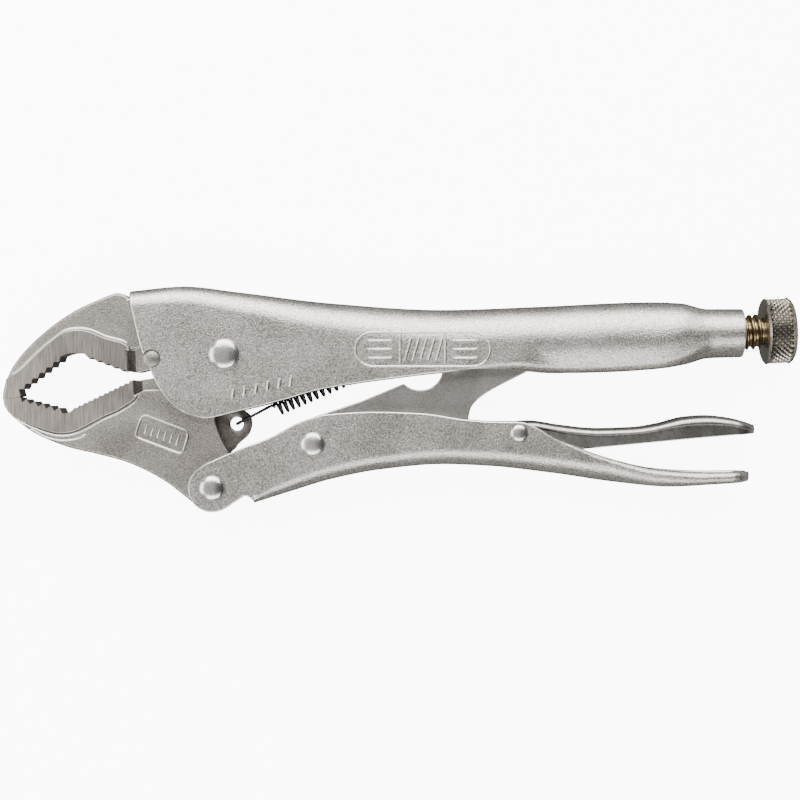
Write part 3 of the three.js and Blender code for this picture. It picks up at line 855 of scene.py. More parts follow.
@dataclass
class UpperHandle:
    """The pressed handle that holds the fixed jaw, the spring's lug and the screw's neck."""

    front: float = -31.0
    rear: float = 167.2
    lean_over: float = 75.0
    low_steps: int = 20
    high_steps: int = 22
    seam: float = 0.1
    slot_end: Point = (112.5, 4.5)
    boss: Point = (-23.3, -1.4)
    boss_radius: float = 2.9
    lug: Point = (62.7, 3.5)

    def __post_init__(self) -> None:
        """Draws the lines that the sections follow."""
        self.top = keyed([(-31, 20.4), (-13, 22), (3, 20.3), (34, 16.7), (70, 14.6), (100, 15.6), (138, 17.1),
                          (147, 16.8), (156, 14.9), (168, 14.9)])
        self.bottom = keyed([(-12, -20.4), (-7, -20.6), (4.5, -18.3), (18.5, -14.8), (31, -11.3), (50, -8.3),
                             (76, -5.5), (92, -5.0), (106, -6.0), (122, -5.7), (140, -4.6), (149, -3.1),
                             (156, -1.2), (168, -0.8)])
        self.half = keyed([(60, CHEEK_OUT), (105, 9.3), (142, 9.2), (156, 7.95)])
        self.crown = keyed([(-31, 5), (0, 5.8), (25, 7.4), (40, 8.4), (80, 9.2)])
        self.drop = keyed([(-31, 5.4), (0, 7.0), (25, 9.0), (80, 11.4), (138, 12.0), (148, 10.2), (156, 7.85)])
        self.lean = keyed([(96, 0.0), (108, 19.0), (120, 22.0), (138, 21.0), (150, 10.0), (156, 0.0)])
        self.low_bend = keyed([(72, 0.02), (84, 2.2), (100, 3.2), (119, 3.0), (140, 3.4), (156, 7.8)])
        self.free_edge = keyed([(72, 0.0), (80, 0.5), (92, 2.5), (100, 4.7)])
        self.swept = flowing([(-30.9, 24), (-30.7, 19.2), (-28.8, 10.3), (-26.5, 1.3), (-24.2, -3.8), (-21.7, -9.5),
                              (-17.3, -15.6), (-12, -19.3), (-6.7, -20.62)])

    def slot(self, x: float) -> float:
        """Half of the gap between the two lower edges at x."""
        centre, radius = self.slot_end
        if x <= centre:
            return max(self.half(x) - self.free_edge(x), radius)
        reach = radius**2 - (x - centre) ** 2
        return max(math.sqrt(reach) if reach > 0 else 0.0, self.seam)

    def section(self, x: float) -> list[Point]:
        """The outside of one half of the sheet at x, as (y, z) from its lower edge to its middle.

        Args:
            x: Where along the handle.

        Returns:
            A bend at the lower edge, a flank that may lean inwards, and an oval crown.
        """
        half, top, bottom, slot = self.half(x), self.top(x), self.bottom(x), self.slot(x)
        across, down = min(self.crown(x), half - 0.05), self.drop(x)
        lean = math.radians(self.lean(x))
        start = math.atan(-down / across * math.tan(lean))
        crown = []
        for k in range(25):
            a = start + (math.pi / 2 - start) * k / 24
            crown.append((top - down + down * math.sin(a), half - across + across * math.cos(a)))
        low = self.low_bend(x)
        reach = max((crown[0][0] + low * math.sin(lean) - bottom - low) / math.cos(lean), 0.0)
        middle = crown[0][1] - reach * math.sin(lean) - low * math.cos(lean)
        share = min(max((slot - middle) / low, 0.0), 1.0)
        stop = math.acos(share)
        bend = [(bottom, slot)] if share == 0.0 else []
        for k in range(15):
            a = stop + (min(lean, stop) - stop) * k / 14
            bend.append((bottom + low - low * math.sin(a), middle + low * math.cos(a)))
        return spread([*bend, crown[0]], self.low_steps) + spread(crown, self.high_steps)[1:]

    def front_at(self, y: float) -> float:
        """The X of the swept front edge at a height y."""
        for (xa, ya), (xb, yb) in zip(self.swept, self.swept[1:]):
            if yb <= y <= ya:
                return xa + (xb - xa) * (y - ya) / (yb - ya)
        return self.swept[0][0] if y > self.swept[0][1] else self.swept[-1][0]

    def front_of_row(self, row: int) -> float:
        """Where one row of the section meets the swept front edge."""
        low, high = self.front, self.swept[-1][0]
        for _ in range(24):
            middle = (low + high) / 2
            if middle < self.front_at(self.section(middle)[row][0]):
                low = middle
            else:
                high = middle
        return (low + high) / 2

    def surface(self, x: float, y: float) -> float:
        """How far the outside stands from the mid plane at a point of the cheek or its crown."""
        rise = max(y - (self.top(x) - self.drop(x)), 0.0) / self.drop(x)
        return self.half(x) - self.crown(x) * (1 - math.sqrt(max(1 - rise**2, 0.0)))

    def sheet(self) -> Piece:
        """The pressed sheet itself."""
        columns = [*evenly(self.front, 108, 76), *evenly(109, 118.5, 19), *evenly(120, 164, 28), 165.6, self.rear]
        rows = []
        for row in range(self.low_steps + self.high_steps + 1):
            lead = self.front_of_row(row)
            line = []
            for x in columns:
                lean = max(0.0, 1 - (x - self.front) / self.lean_over)
                place = x + (lead - self.front) * lean**1.5
                y, z = self.section(place)[row]
                line.append((place, y, z))
            rows.append(line)
        piece = pressed_sheet("upper_handle_sheet", rows, 1)
        wall = piece.vertex_groups.new(name="wall")
        for corner in piece.data.vertices:
            share = min(max((corner.co.x / MM - 140) / 16, 0.0), 1.0)
            wall.add([corner.index], 1 - 0.23 * share, "REPLACE")
        # The cut edges get worn nickel that is painted lighter as a highlight.
        coat(piece, SATIN_NICKEL, WORN_HIGHLIGHT_NICKEL)
        thicken(piece, 0.42, group="wall")
        return piece

    def boss_holes(self, piece: Piece) -> None:
        """Opens the round holes that the fixed jaw's bosses sit in."""
        x, y = self.boss
        bpy.ops.object.select_all(action="DESELECT")
        bpy.ops.mesh.primitive_cylinder_add(vertices=48, radius=self.boss_radius * MM, depth=24 * MM, location=at(x, y))
        tool = named("boss_drill")
        focus(tool)
        bpy.ops.object.transform_apply(location=True)
        cut(piece, tool)

    def cartouche(self) -> list[Piece]:
        """A plain panel of raised lines pressed into each cheek."""
        left, right, low, high = 47.4, 79.6, -3.9, 7.1
        middle, radius = (low + high) / 2, (high - low) / 2
        outline = [*arc((left, middle), radius, 90, 270, 14), *arc((right, middle), radius, -90, 90, 14)]
        wide, flat = 0.85, 0.33
        ring = spread([*outline, outline[0]], 90)[:-1]
        lines = bead("panel", ring, wide, flat, self.surface, SATIN_NICKEL, closed=True)
        for x in (56.3, 70.7):
            lines += self.line("panel_bar", (x, low), (x, high), 12, wide, flat)
        for k in range(5):
            x = 57.7 + 2.5 * k
            lines += self.line("panel_rib", (x, low + 1.7), (x + 2.2, high - 1.7), 8, 1.0, flat)
        for x in (45.6, 72.9):
            for k in range(3):
                y = low + 2.7 + 2.8 * k
                lines += self.line("panel_line", (x, y), (x + 8.4, y), 6, wide, flat)
        return lines

    def line(self, name: str, start: Point, end: Point, chords: int, width: float, rise: float) -> list[Piece]:
        """A straight raised line on each cheek."""
        return bead(name, spread([start, end], chords), width, rise, self.surface, SATIN_NICKEL)

    def strokes(self) -> list[Piece]:
        """A row of plain strokes on each cheek, below the main rivet."""
        lines = []
        for k in range(6):
            x, y = 2.6 + 3.7 * k, -14.9 + 0.82 * k
            lines += self.line("stroke", (x, y), (x + 0.5, y + 4.3), 6, 1.35, 0.4)
        return lines

    def spring_lug(self) -> Piece:
        """The small lug under the web that holds the spring's rear hook."""
        x, y = self.lug
        outline = [(x - 4.6, y + 9.6), (x - 3.1, y - 1), *arc((x, y), 3.1, 200, 340, 10), (x + 3.1, y - 1),
                   (x + 4.6, y + 9.6)]
        lug = stepped_plate("lug", [Tile(outline, 1.2)], SATIN_NICKEL)
        bore(lug, (x, y), 1.7, 4.0, facets=24)
        round_edges(lug, 0.2, 2, over=50)
        return lug

    def build(self) -> None:
        """Makes and dresses the handle."""
        piece = self.sheet()
        self.boss_holes(piece)
        smooth(piece, angle=50)
        parts = [*self.cartouche(), *self.strokes(), self.spring_lug()]
        for part in parts:
            smooth(part, weighted=False)
        piece = joined([piece, *parts])
        piece.name = "upper_handle_pressing"
        dress(piece, "upper_frame", "upper_handle")


# ---------------------------------------------------------------- jaws


@dataclass
class Jaw:
    """What the two forged jaws have in common."""

    pad: float = JAW_HALF
    web: float = JAW_HALF - 0.45
    neck: float = JAW_HALF - 1.7
    pad_end: float = 1.3
    edge: float = 0.19
    rim: float = 0.9
    shank_hole: float = 3.85
    # Slot of the worn edges, which are painted lighter as a highlight.
    edge_slot: int = 2
    # Slot of the forge scale with painted shade on the pad's sloped rear end.
    dark_slot: int = 3

    def finish(self, piece: Piece, wall: tuple[Point, Point], rim: Sequence[Point], bite: Sequence[Point]) -> None:
        """Slopes the rear end of the pad and gives it forge scale with painted shade, thins the nose and rounds the
        edges.

        Args:
            piece: The forging.
            wall: The two ends of the pad's rear end.
            rim: The outer outline, which is rounded widely.
            bite: The gripping outline, which stays crisp.
        """
        (x_low, y_low), (x_high, y_high) = wall

        def beside(x: float, y: float) -> bool:
            """Whether a place is on the pad's rear end."""
            line = x_low + (x_high - x_low) * (y - y_low) / (y_high - y_low)
            return min(y_low, y_high) - 0.6 < y < max(y_low, y_high) + 0.4 and abs(x - line) < 0.25

        for corner in piece.data.vertices:
            x, y, z = corner.co / MM
            if beside(x, y) and abs(z) > 0.1:
                corner.co.x += (-self.pad_end if abs(z) > self.neck + 0.1 else self.pad_end) * MM
        piece.data.update()
        # Faces of the sloped rear end of the pad take the dark slot: forge scale with painted shade.
        for face in piece.data.polygons:
            x, y, _ = face.center / MM
            if 0.3 < abs(face.normal.z) < 0.95 and beside(x, y):
                face.material_index = self.dark_slot
        taper_nose(piece)

        def fine(line: Sequence[Point]) -> list[Point]:
            """The line as closely set points."""
            return [point for a, b in zip(line, line[1:]) for point in spread([a, b], 40)]

        def near(line: Sequence[Point], *ends: Vector) -> bool:
            """Whether both ends of an edge lie on a line."""
            return all(min(math.dist(end.xy, point) for point in line) < 0.05 for end in ends)

        fine_rim, fine_bite = fine(rim), fine(bite)
        round_edges(piece, self.rim, 4, worn_highlight=-1, where=lambda a, b: near(fine_rim, a, b) and abs(a.z - b.z) < 0.3)
        round_edges(piece, self.edge, 3, worn_highlight=self.edge_slot, where=lambda a, b: not near(fine_bite, a, b))

    def beads(
        self, name: str, path: Sequence[Point], width: float, rise: float, finish: Finish = LINE_STEEL
    ) -> list[Piece]:
        """A raised line along the border of the pad, on both sides."""
        return bead(name, path, width, rise, lambda x, y: jaw_face(x, self.web), finish)


@dataclass
class FixedJaw(Jaw):
    """The upper jaw, with its tang and its two bosses inside the handle."""

    boss: Point = (-23.3, -1.4)
    boss_radius: float = 2.6

    def build(self) -> None:
        """Makes and dresses the upper jaw."""
        tip = (-71.9, -14.6)
        back = flowing([tip, (-71.5, -10.8), (-69.1, -4.4), (-63.8, 2.3), (-56.1, 9.1), (-48.4, 14.2), (-41, 17.6),
                        (-36, 19.6), (-33.8, 19.7), (-32, 19.0), (-30.6, 17.9)], 5)
        shoulder = [(-28, 16.4), (-6, 17)]
        clear = arc((0, 0), 11.6, 120, 193, 12)
        border = flowing([(-71.0, -8.3), (-70.0, -7.3), (-65.7, -4.7), (-59.3, 1.4), (-54.5, 5.2), (-51.3, 7.2),
                          (-47.1, 7.8), (-43.3, 7.2), (-38.5, 5.2), (-33.6, 3.9), (-31.4, 2.6), (-30.4, 1.4)], 4)
        throat = flowing([(-29.9, -5.7), (-28.4, -5.8), (-24.7, -5)], 3)
        pad_low = (-29.9, -5.7)
        rear = teeth((-31.9, -4.9), (-45.2, 0.1), 5, 0.95, 0.25)
        roof = flowing([(-45.2, 0.1), (-47.8, 0.5), (-50.4, 0.3), (-52.9, -0.65)], 4)
        front = teeth((-52.9, -0.65), (-66.6, -11.2), 6, 1.02, 0.5)
        start = min(range(len(back)), key=lambda k: math.dist(back[k], border[0]))
        border[0] = back[start]
        bite = [pad_low, *rear, *roof[1:-1], *front, (-65.9, -13.4), (-66.9, -13.72)]
        pad = [*border, *bite, *back[: start]]
        ledge = [border[-1], (-27.6, 2.5), (-24.6, 3.4), (-15, 3.4)]
        neck = [border[-1], *ledge[1:], *[p for p in clear if p[1] < 3.0], *throat[::-1]]
        web = [*back[start:], *shoulder, *[p for p in clear if p[1] > 3.8], (-15, 3.4), (-24.6, 3.4), (-27.6, 2.5),
               *border[::-1][:-1]]
        piece = stepped_plate(
            "fixed_jaw_forging",
            [Tile(pad, self.pad, 1), Tile(web, self.web), Tile(neck, self.neck)],
            *JAW_FINISHES,
        )
        self.finish(piece, (pad_low, border[-1]), back, [*bite, tip])
        smooth(piece)
        raised = flowing([(-69.3, -6.6), (-65.9, -4.3), (-59.6, 1.8), (-54.8, 5.7), (-51.4, 7.8), (-47.1, 8.4),
                          (-43.1, 7.8), (-38.3, 5.8), (-33.4, 4.5), (-31.0, 3.2)], 5)
        parts = self.beads("upper_bead", raised, 1.1, 0.42)
        # A low raised line beside the pad's border, coloured near-black as the painted shade of a groove.
        parts += self.beads("upper_groove_shade", border[6:], 0.6, 0.22, SCALE_AND_SHADE_STEEL)
        boss_height = CHEEK_OUT - 0.45
        disc = lathe(
            "boss",
            [(-boss_height - 0.15, 0), (-boss_height, 1.6), (-boss_height + 0.35, self.boss_radius),
             (0, self.boss_radius), (boss_height - 0.35, self.boss_radius), (boss_height, 1.6),
             (boss_height + 0.15, 0)],
            40,
        )
        parts.append(stand(coat(disc, BOSS_STEEL), at(*self.boss)))
        tang = stepped_plate("tang", [Tile([*arc((0, 0), 12, 60, 420, 48)][:-1], 2.8)], FORGED_STEEL)
        bore(tang, (0, 0), self.shank_hole, 6.0)
        root = [(-16, 15), (-16, -3.4), (-9, -3.4), (-8, 14)]
        neck_plate = stepped_plate("tang_root", [Tile(root, 2.7)], FORGED_STEEL)
        for part in (tang, neck_plate):
            round_edges(part, 0.25, 2)
        parts += [tang, neck_plate]
        for part in parts:
            smooth(part, weighted=False)
        piece = joined([piece, *parts])
        dress(piece, "upper_frame", "fixed_jaw")


@dataclass
class MovableJaw(Jaw):
    """The lower jaw, forked round the main pivot, with the tab that the spring pulls."""

    handle_pivot: Point = (-3.9, -42.9)
    hole: Point = (3.3, -22.4)

    def build(self) -> None:
        """Makes and dresses the lower jaw."""
        tip = (-71.7, -14.64)
        bite = [(-66.9, -13.78), (-65.9, -13.8), *teeth((-65.6, -15.4), (-52.4, -18.9), 5, 1.45, 0.5),
                *flowing([(-52.4, -18.9), (-50.8, -18.9), (-49.2, -18)], 3)[1:-1],
                *teeth((-49.2, -18), (-29.4, -8.5), 12, 0.5, 0.5)]
        pad_high = (-28.3, -8.3)
        throat = flowing([pad_high, (-23.4, -7.6), (-12, -6.2)], 4)
        ears = arc((0, 0), 11, 207, -52, 40)
        back_edge = flowing([(2.2, -13.4), (-2.4, -17.4), (-3.3, -21.1), (-1.2, -27.5), (2.2, -34), (3.9, -40.5)], 5)
        foot = arc(self.handle_pivot, 7.8, -8, -128, 16)
        belly = flowing([(-12.5, -46.1), (-20.2, -40.3), (-30.4, -35.2), (-40.7, -32.2), (-51, -29.8), (-61.2, -25.6),
                         (-68.4, -20.4), (-71.1, -17), tip], 5)
        border = flowing([(-70.4, -18.2), (-65.7, -21.4), (-59.3, -23.9), (-54.5, -25.2), (-50.3, -25.1),
                          (-46.5, -23.8), (-40.1, -20.4), (-34.3, -17.8), (-29.8, -14.9), (-28.0, -13.2)], 5)
        leave = min(range(len(belly)), key=lambda k: math.dist(belly[k], border[0]))
        border[0] = belly[leave]
        pad = [*bite, pad_high, *border[::-1], *belly[leave + 1:]]
        web = [*throat[-1:], *ears, *back_edge, *foot, *belly[: leave + 1], *border[1:], (-26.2, -11.6),
               (-11.5, -11.4), (-11.5, -8.0)]
        neck = [*throat, (-11.5, -8.0), (-11.5, -11.4), (-26.2, -11.6), border[-1]]
        piece = stepped_plate(
            "movable_jaw_forging",
            [Tile(pad, self.pad, 1), Tile(web, self.web), Tile(neck, self.neck)],
            *JAW_FINISHES,
        )
        bore(piece, (0, 0), 13, 3.1, facets=45)
        bore(piece, (0, 0), self.shank_hole, 12.0)
        bore(piece, self.handle_pivot, 3.15, 12.0)
        self.finish(piece, (border[-1], pad_high), [*foot, *belly], [tip, *bite])
        smooth(piece)
        parts = self.beads("lower_bead", flowing([(-67.4, -20.6), (-65.5, -22.1), (-59.2, -24.8), (-54.5, -26.1),
                                                  (-50.2, -26.0), (-46.1, -24.75), (-39.6, -21.35), (-33.8, -18.7),
                                                  (-29.3, -15.8), (-27.5, -13.5)], 5), 0.75, 0.3)
        parts += self.beads("belly_bead", flowing([(-62.9, -23.9), (-61.0, -24.9), (-57.7, -26.7), (-52.9, -27.7),
                                                   (-48.1, -27.2), (-44.6, -25.7)], 5), 0.7, 0.24)
        # A low raised line beside the pad's border, coloured near-black as the painted shade of a groove.
        parts += self.beads("lower_groove_shade", border[6:], 1.05, 0.33, SCALE_AND_SHADE_STEEL)
        parts += self.plaque()
        parts.append(self.tab())
        for part in parts:
            smooth(part, weighted=False)
        piece = joined([piece, *parts])
        dress(piece, "moving_jaw", "movable_jaw")

    def plaque(self) -> list[Piece]:
        """A raised frame with a few plain bars in it, on both sides."""
        corners = [Vector(p) for p in ((-26.6, -19.2), (-11.5, -24.9), (-13.7, -32.3), (-29.1, -26.5))]
        outline: list[Point] = []
        for k, corner in enumerate(corners):
            before = (corners[k - 1] - corner).normalized()
            after = (corners[(k + 1) % 4] - corner).normalized()
            turn = (corner + before * 1.5, corner + (before + after) * 0.4, corner + after * 1.5)
            outline += [tuple(place) for place in turn]
        ring = spread([*outline, outline[0]], 64)[:-1]
        lines = self.beads("plaque_frame", [*ring, ring[0]], 0.95, 0.36)
        along = (corners[1] - corners[0]).normalized()
        down = (corners[3] - corners[0]).normalized()
        for k in range(6):
            head = corners[0] + along * (2.7 + 2.15 * k) + down * 2.2
            foot = head + down * 3.6
            lines += self.beads("plaque_bar", [tuple(head), tuple(foot)], 0.6, 0.2)
        return lines

    def tab(self) -> Piece:
        """The thin tab behind the jaw, with the hole for the spring's front hook."""
        outline = [(-6, -30), *flowing([(-0.2, -32.6), (2.6, -30.6), (3.8, -28.9), (7, -26), (8.2, -22.7), (7.7, -19.8),
                                        (6, -18.2), (1.5, -15.5)], 5), (-6, -16)]
        tab = stepped_plate("spring_tab", [Tile(outline, 1.75)], TAB_STEEL)
        bore(tab, self.hole, 2.2, 5.0, facets=30)
        round_edges(tab, 0.25, 2, over=50)
        return tab


# ---------------------------------------------------------------- lower handle


@dataclass
class LowerHandle:
    """The pressed lower handle: two bare cheeks in front, a channel with rolled edges behind."""

    channel_from: float = 9.4
    tail: float = 169.0
    round_from: float = 162.6
    side_steps: int = 16
    web_steps: int = 16
    pivot: Point = (-3.9, -42.9)

    def __post_init__(self) -> None:
        """Draws the lines that the sections follow."""
        self.top = keyed([(-6.1, -35.1), (4.1, -30.6), (14.7, -26.5), (24.3, -21.5), (33, -19.1), (48, -18.3),
                          (63, -18.8), (78, -20.9), (88, -21.5), (94, -21.5), (107.3, -27.4), (126.5, -34.1),
                          (140, -36.9), (156, -37.7), (172, -37.5)])
        self.bottom = keyed([(9.4, -47.7), (21, -44.1), (34, -40.2), (50, -37.1), (70, -35.4), (85, -36), (105, -38.2),
                             (126, -41.2), (143, -42.6), (156, -41.9), (165, -41.3), (169, -40.7)])
        self.bend = keyed([(9.4, 1.9), (16, 3.6), (22, 4.3), (36, 4.9), (60, 5.2), (120, 6), (169, 6.5)])
        self.straight_half = keyed([(90, CHEEK_OUT), (125, 8.5), (169, 8.2)])
        self.roll = keyed([(102, 0.05), (118, 1.6), (150, 2.2), (169, 1.6)])

    def half(self, x: float) -> float:
        """Half of the width at x; the tail is rounded off in plan."""
        reach = self.tail - self.round_from
        share = min(max((x - self.round_from) / reach, 0.0), 0.985)
        return self.straight_half(x) - 6.4 * (1 - math.sqrt(1 - share**2))

    def section(self, x: float) -> list[Point]:
        """The outside of one half at x, as (y, z) from its upper edge to the middle of the web."""
        half, top, bottom = self.half(x), self.top(x), self.bottom(x)
        roll = min(self.roll(x), half * 0.5)
        start = min(78.0, 78.0 * roll / 1.2)
        low = min(self.bend(x), half - 0.1, top - bottom - roll - 0.05)
        lip = [(y, z) for z, y in arc((half - roll, top - roll), roll, start, 0, 8)]
        foot = [(y, z) for z, y in arc((half - low, bottom + low), low, 0, -90, 12)]
        side = spread([*lip, foot[0]], self.side_steps)
        return side + spread([*foot, (bottom, 0.0)], self.web_steps)[1:]

    def build(self) -> None:
        """Makes and dresses the lower handle."""
        columns = [*evenly(self.channel_from, 160, 84), *evenly(161, self.tail, 12)]
        rows = []
        for row in range(self.side_steps + self.web_steps + 1):
            rows.append([(x, *self.section(x)[row]) for x in columns])
        parts = [pressed_sheet("lower_handle_channel", rows, -1)]
        edge = [line[0][:2] for line in rows[: self.side_steps + 1]]
        crest = [(x, self.top(x)) for x in evenly(-6.1, self.channel_from, 12)][:-1]
        relief = arc((6.6, -48), 2.6, 30, 150, 9)
        lobe = arc(self.pivot, 7.7, -58, -232, 24)
        outline = [*crest, *edge, *relief, *lobe]
        for side in (1, -1):
            cheek = flat_face("cheek", outline)
            if side < 0:
                in_edit(cheek, lambda: bpy.ops.mesh.flip_normals())
            parts.append(stand(cheek, at(0, 0, side * CHEEK_OUT)))
        piece = joined(parts, merge=1e-6)
        piece.name = "lower_handle_pressing"
        # The cut edges get worn nickel that is painted lighter as a highlight.
        coat(piece, SATIN_NICKEL, WORN_HIGHLIGHT_NICKEL)
        thicken(piece, 0.42)
        smooth(piece, angle=50)
        dress(piece, "lower_grip", "lower_handle")


# ---------------------------------------------------------------- link and lever


@dataclass
class ToggleLink:
    """The flat link from the lower handle to the screw's nose."""

    pivot: Point = (28.3, -28.8)
    end: Point = (113.0, 4.9)
    half: float = 4.0

    def build(self) -> None:
        """Makes and dresses the link."""
        hub = arc(self.pivot, 8.25, -70, -250, 20)
        notch = arc((62.7, -3.9), 7.55, -134, -6, 18)
        end = arc(self.end, 4, 106, -48, 14)
        under = flowing([(112, 0.2), (104, -2.3), (97.4, -5.5), (85.2, -11.8), (80, -15.9), (78.5, -19.5),
                         (78.4, -22.5)], 6)
        foot = [(77.4, -23.5), (64, -24), (56, -26.6)]
        outline = [*hub, (43.3, -15.1), *notch, (71.4, -2.6), *end, *under, *foot]
        piece = stepped_plate("toggle_link_plate", [Tile(outline, self.half)])
        boss = stepped_plate("link_boss", [Tile(arc(self.pivot, 6, 0, 350, 35), JAW_HALF)])
        for part in (piece, boss):
            # The link is painted darker as painted shade; its rims get worn steel painted lighter as a highlight.
            coat(part, PAINTED_SHADE_NICKEL, WORN_HIGHLIGHT_STEEL)
            round_edges(part, 0.4, 3, over=35, worn_highlight=1)
            smooth(part)
        piece = joined([piece, boss])
        dress(piece, "link", "toggle_link")


@dataclass
class ReleaseLever:
    """The pressed release lever: a rounded band over a wall that is set back."""

    nose: float = 76.0
    tail: float = 171.0
    round_from: float = 165.0
    half_width: float = 6.2
    set_back: float = 0.75

    def __post_init__(self) -> None:
        """Draws the lines that the sections follow."""
        self.top = keyed([(76, -27.8), (81, -26.9), (85, -23.4), (92, -21.6), (98, -21.2), (108, -22.6), (120, -23.7),
                          (132, -23.3), (140, -22), (148, -20), (155, -19.5), (162, -20.2), (168, -21.7), (171, -22.8)])
        self.bottom = keyed([(76, -29.3), (82, -29.8), (94, -31), (106, -31.2), (116, -30.4), (133, -28.8),
                             (159, -26.4), (171, -25.5)])
        self.crease = keyed([(76, -28.5), (82, -27.8), (87, -25.2), (98, -23.2), (102.8, -23.9), (110.8, -25.3),
                             (120.4, -25.9), (130, -25.6), (136.5, -24.9), (144.5, -23.3), (154.1, -22.4),
                             (162.1, -22.7), (167, -23.6), (171, -24.5)])

    def half(self, x: float) -> float:
        """Half of the width at x; the tail is rounded off in plan."""
        share = min(max((x - self.round_from) / (self.tail - self.round_from), 0.0), 0.985)
        return self.half_width - 5.2 * (1 - math.sqrt(1 - share**2))

    def section(self, x: float) -> list[Point]:
        """The outside of one half at x, as (y, z) from its lower edge to the middle of its top."""
        half, top, bottom, crease = self.half(x), self.top(x), self.bottom(x), self.crease(x)
        step = min(self.set_back, half * 0.3)
        wall = spread([(bottom, half - step), (crease - 0.45, half - step)], 6)
        shoulder = [(crease - 0.25, half - step * 0.75), (crease - 0.08, half - step * 0.2)]
        band = []
        for k in range(19):
            a = math.pi / 2 * k / 18
            band.append((crease + (top - crease) * math.sin(a) ** 0.8, half * math.cos(a) ** 0.55))
        return wall + shoulder + spread(band, 18)

    def build(self) -> None:
        """Makes and dresses the lever."""
        columns = [*evenly(self.nose, 82, 6), *evenly(83.5, 163, 52), *evenly(164, self.tail, 12)]
        count = len(self.section(columns[0]))
        rows = [[(x, *self.section(x)[row]) for x in columns] for row in range(count)]
        piece = pressed_sheet("release_lever_pressing", rows, 1)
        # The cut edges get worn nickel that is painted lighter as a highlight.
        coat(piece, LEVER_NICKEL, WORN_HIGHLIGHT_NICKEL)
        thicken(piece, 0.25, wall=1.0)
        smooth(piece, weighted=False, angle=38)
        dress(piece, "lever", "release_lever")


# ---------------------------------------------------------------- screw and knob


@dataclass
class ScrewLine:
    """Where the screw's axis lies."""

    point: Point = (160.7, 6.95)
    tilt: float = 2.5

    def align(self, piece: Piece) -> Piece:
        """Lays a body that was turned about Z along the screw's axis."""
        turn = Matrix.Rotation(math.radians(self.tilt), 3, "Z") @ Matrix.Rotation(math.pi / 2, 3, "Y")
        return stand(piece, at(*self.point), turn)


@dataclass
class AdjustingScrew:
    """The screw with its real helical thread."""

    line: ScrewLine
    nose: float = -40.4
    thread_end: float = 12.4
    end: float = 21.3
    pitch: float = 2.1
    crest: float = 5.75
    root: float = 4.75
    around: int = 48
    profile: Sequence[Point] = ((0.0, 0.0), (0.12, 0.0), (0.42, 1.0), (0.58, 1.0), (0.88, 0.0))

    def build(self) -> None:
        """Makes and dresses the screw."""
        steps = []
        turn = -1
        while self.nose + turn * self.pitch < self.thread_end + self.pitch:
            steps += [(turn + share, lift) for share, lift in self.profile]
            turn += 1
        rows = []
        for share, lift in steps:
            row = []
            for k in range(self.around + 1):
                angle = 2 * math.pi * k / self.around
                s = self.nose + 1.6 + (share + k / self.around) * self.pitch
                s = min(max(s, self.nose + 1.6), self.thread_end)
                fade = min(1.0, (s - self.nose - 1.6) / 1.5, (self.thread_end - s) / 0.6)
                r = self.root + (self.crest - self.root) * lift * max(fade, 0.0)
                row.append(at(r * math.cos(angle), r * math.sin(angle), s))
            rows.append(row)
        thread = cloth_grid("adjusting_screw_thread", rows)
        thread.data.validate()
        in_edit(thread, lambda: bpy.ops.mesh.remove_doubles(threshold=2e-6))
        core = lathe(
            "screw_core",
            [(self.nose, 0), (self.nose, 3.2), (self.nose + 0.5, 3.9), (self.nose + 1.7, self.root - 0.02),
             (self.thread_end, self.root - 0.02), (self.thread_end + 0.2, 4.0), (self.end - 0.4, 4.0), (self.end, 3.6),
             (self.end, 0)],
            self.around,
        )
        for part in (thread, core):
            smooth(part, weighted=False, angle=30)
        piece = joined([thread, core])
        self.line.align(piece)
        dress(coat(piece, YELLOW_ZINC), "screw", "adjusting_screw")


@dataclass
class AdjustingKnob:
    """The round knob, cut with a diamond knurl between two plain chamfers."""

    line: ScrewLine
    start: float = 13.3
    end: float = 22.9
    radius: float = 10.75
    knurl_from: float = 14.1
    knurl_to: float = 21.3
    around: int = 34
    pitch: float = 1.85
    depth: float = 1.15
    # How far below the crests, as a share of the knurl's depth, the painted shade of its roots starts.
    root: float = 0.72
    facets: int = 8

    def knurl(self, height: float, turn: float) -> float:
        """What the knurl takes off the radius at a place."""
        if not self.knurl_from < height < self.knurl_to:
            return 0.0
        u = self.around * turn / (2 * math.pi)
        v = (height - self.knurl_from) / self.pitch
        slopes = [1 - abs(2 * ((u + side * v) % 1.0) - 1) for side in (1, -1)]
        fade = min((height - self.knurl_from) / 0.35, (self.knurl_to - height) / 0.35, 1.0)
        return self.depth * fade * min(1.35 * (1 - min(slopes)), 1.0)

    def build(self) -> None:
        """Makes and dresses the knob."""
        r = self.radius
        rows = round((self.knurl_to - self.knurl_from) / self.pitch * self.facets)
        profile = [(self.start, 4.4), (self.start, r - 1.5), (self.start + 0.1, r - 1.05), (self.start + 0.35, r - 0.5),
                   (self.start + 0.6, r - 0.2)]
        profile += [(s, r) for s in evenly(self.knurl_from, self.knurl_to, rows)]
        profile += [(self.end - 1.3, r - 0.25), (self.end - 0.7, r - 0.7), (self.end - 0.2, r - 1.5),
                    (self.end, r - 2.4), (self.end, 5.2), (self.end - 0.35, 4.6), (self.end - 0.35, 0)]
        ring = lathe("adjusting_knob_body", profile, self.around * self.facets, self.knurl)
        smooth(ring, weighted=False, angle=24)
        # Faces deep in the knurl take slot 1, the near-black painted shade of its roots.
        for face in ring.data.polygons:
            x, y, height = face.center / MM
            if self.knurl_from < height < self.knurl_to and math.hypot(x, y) < r - self.root * self.depth:
                face.material_index = 1
        self.line.align(ring)
        dress(coat(ring, KNURLED_NICKEL, KNURL_ROOT_SHADE), "knob", "adjusting_knob")


# ---------------------------------------------------------------- rivets


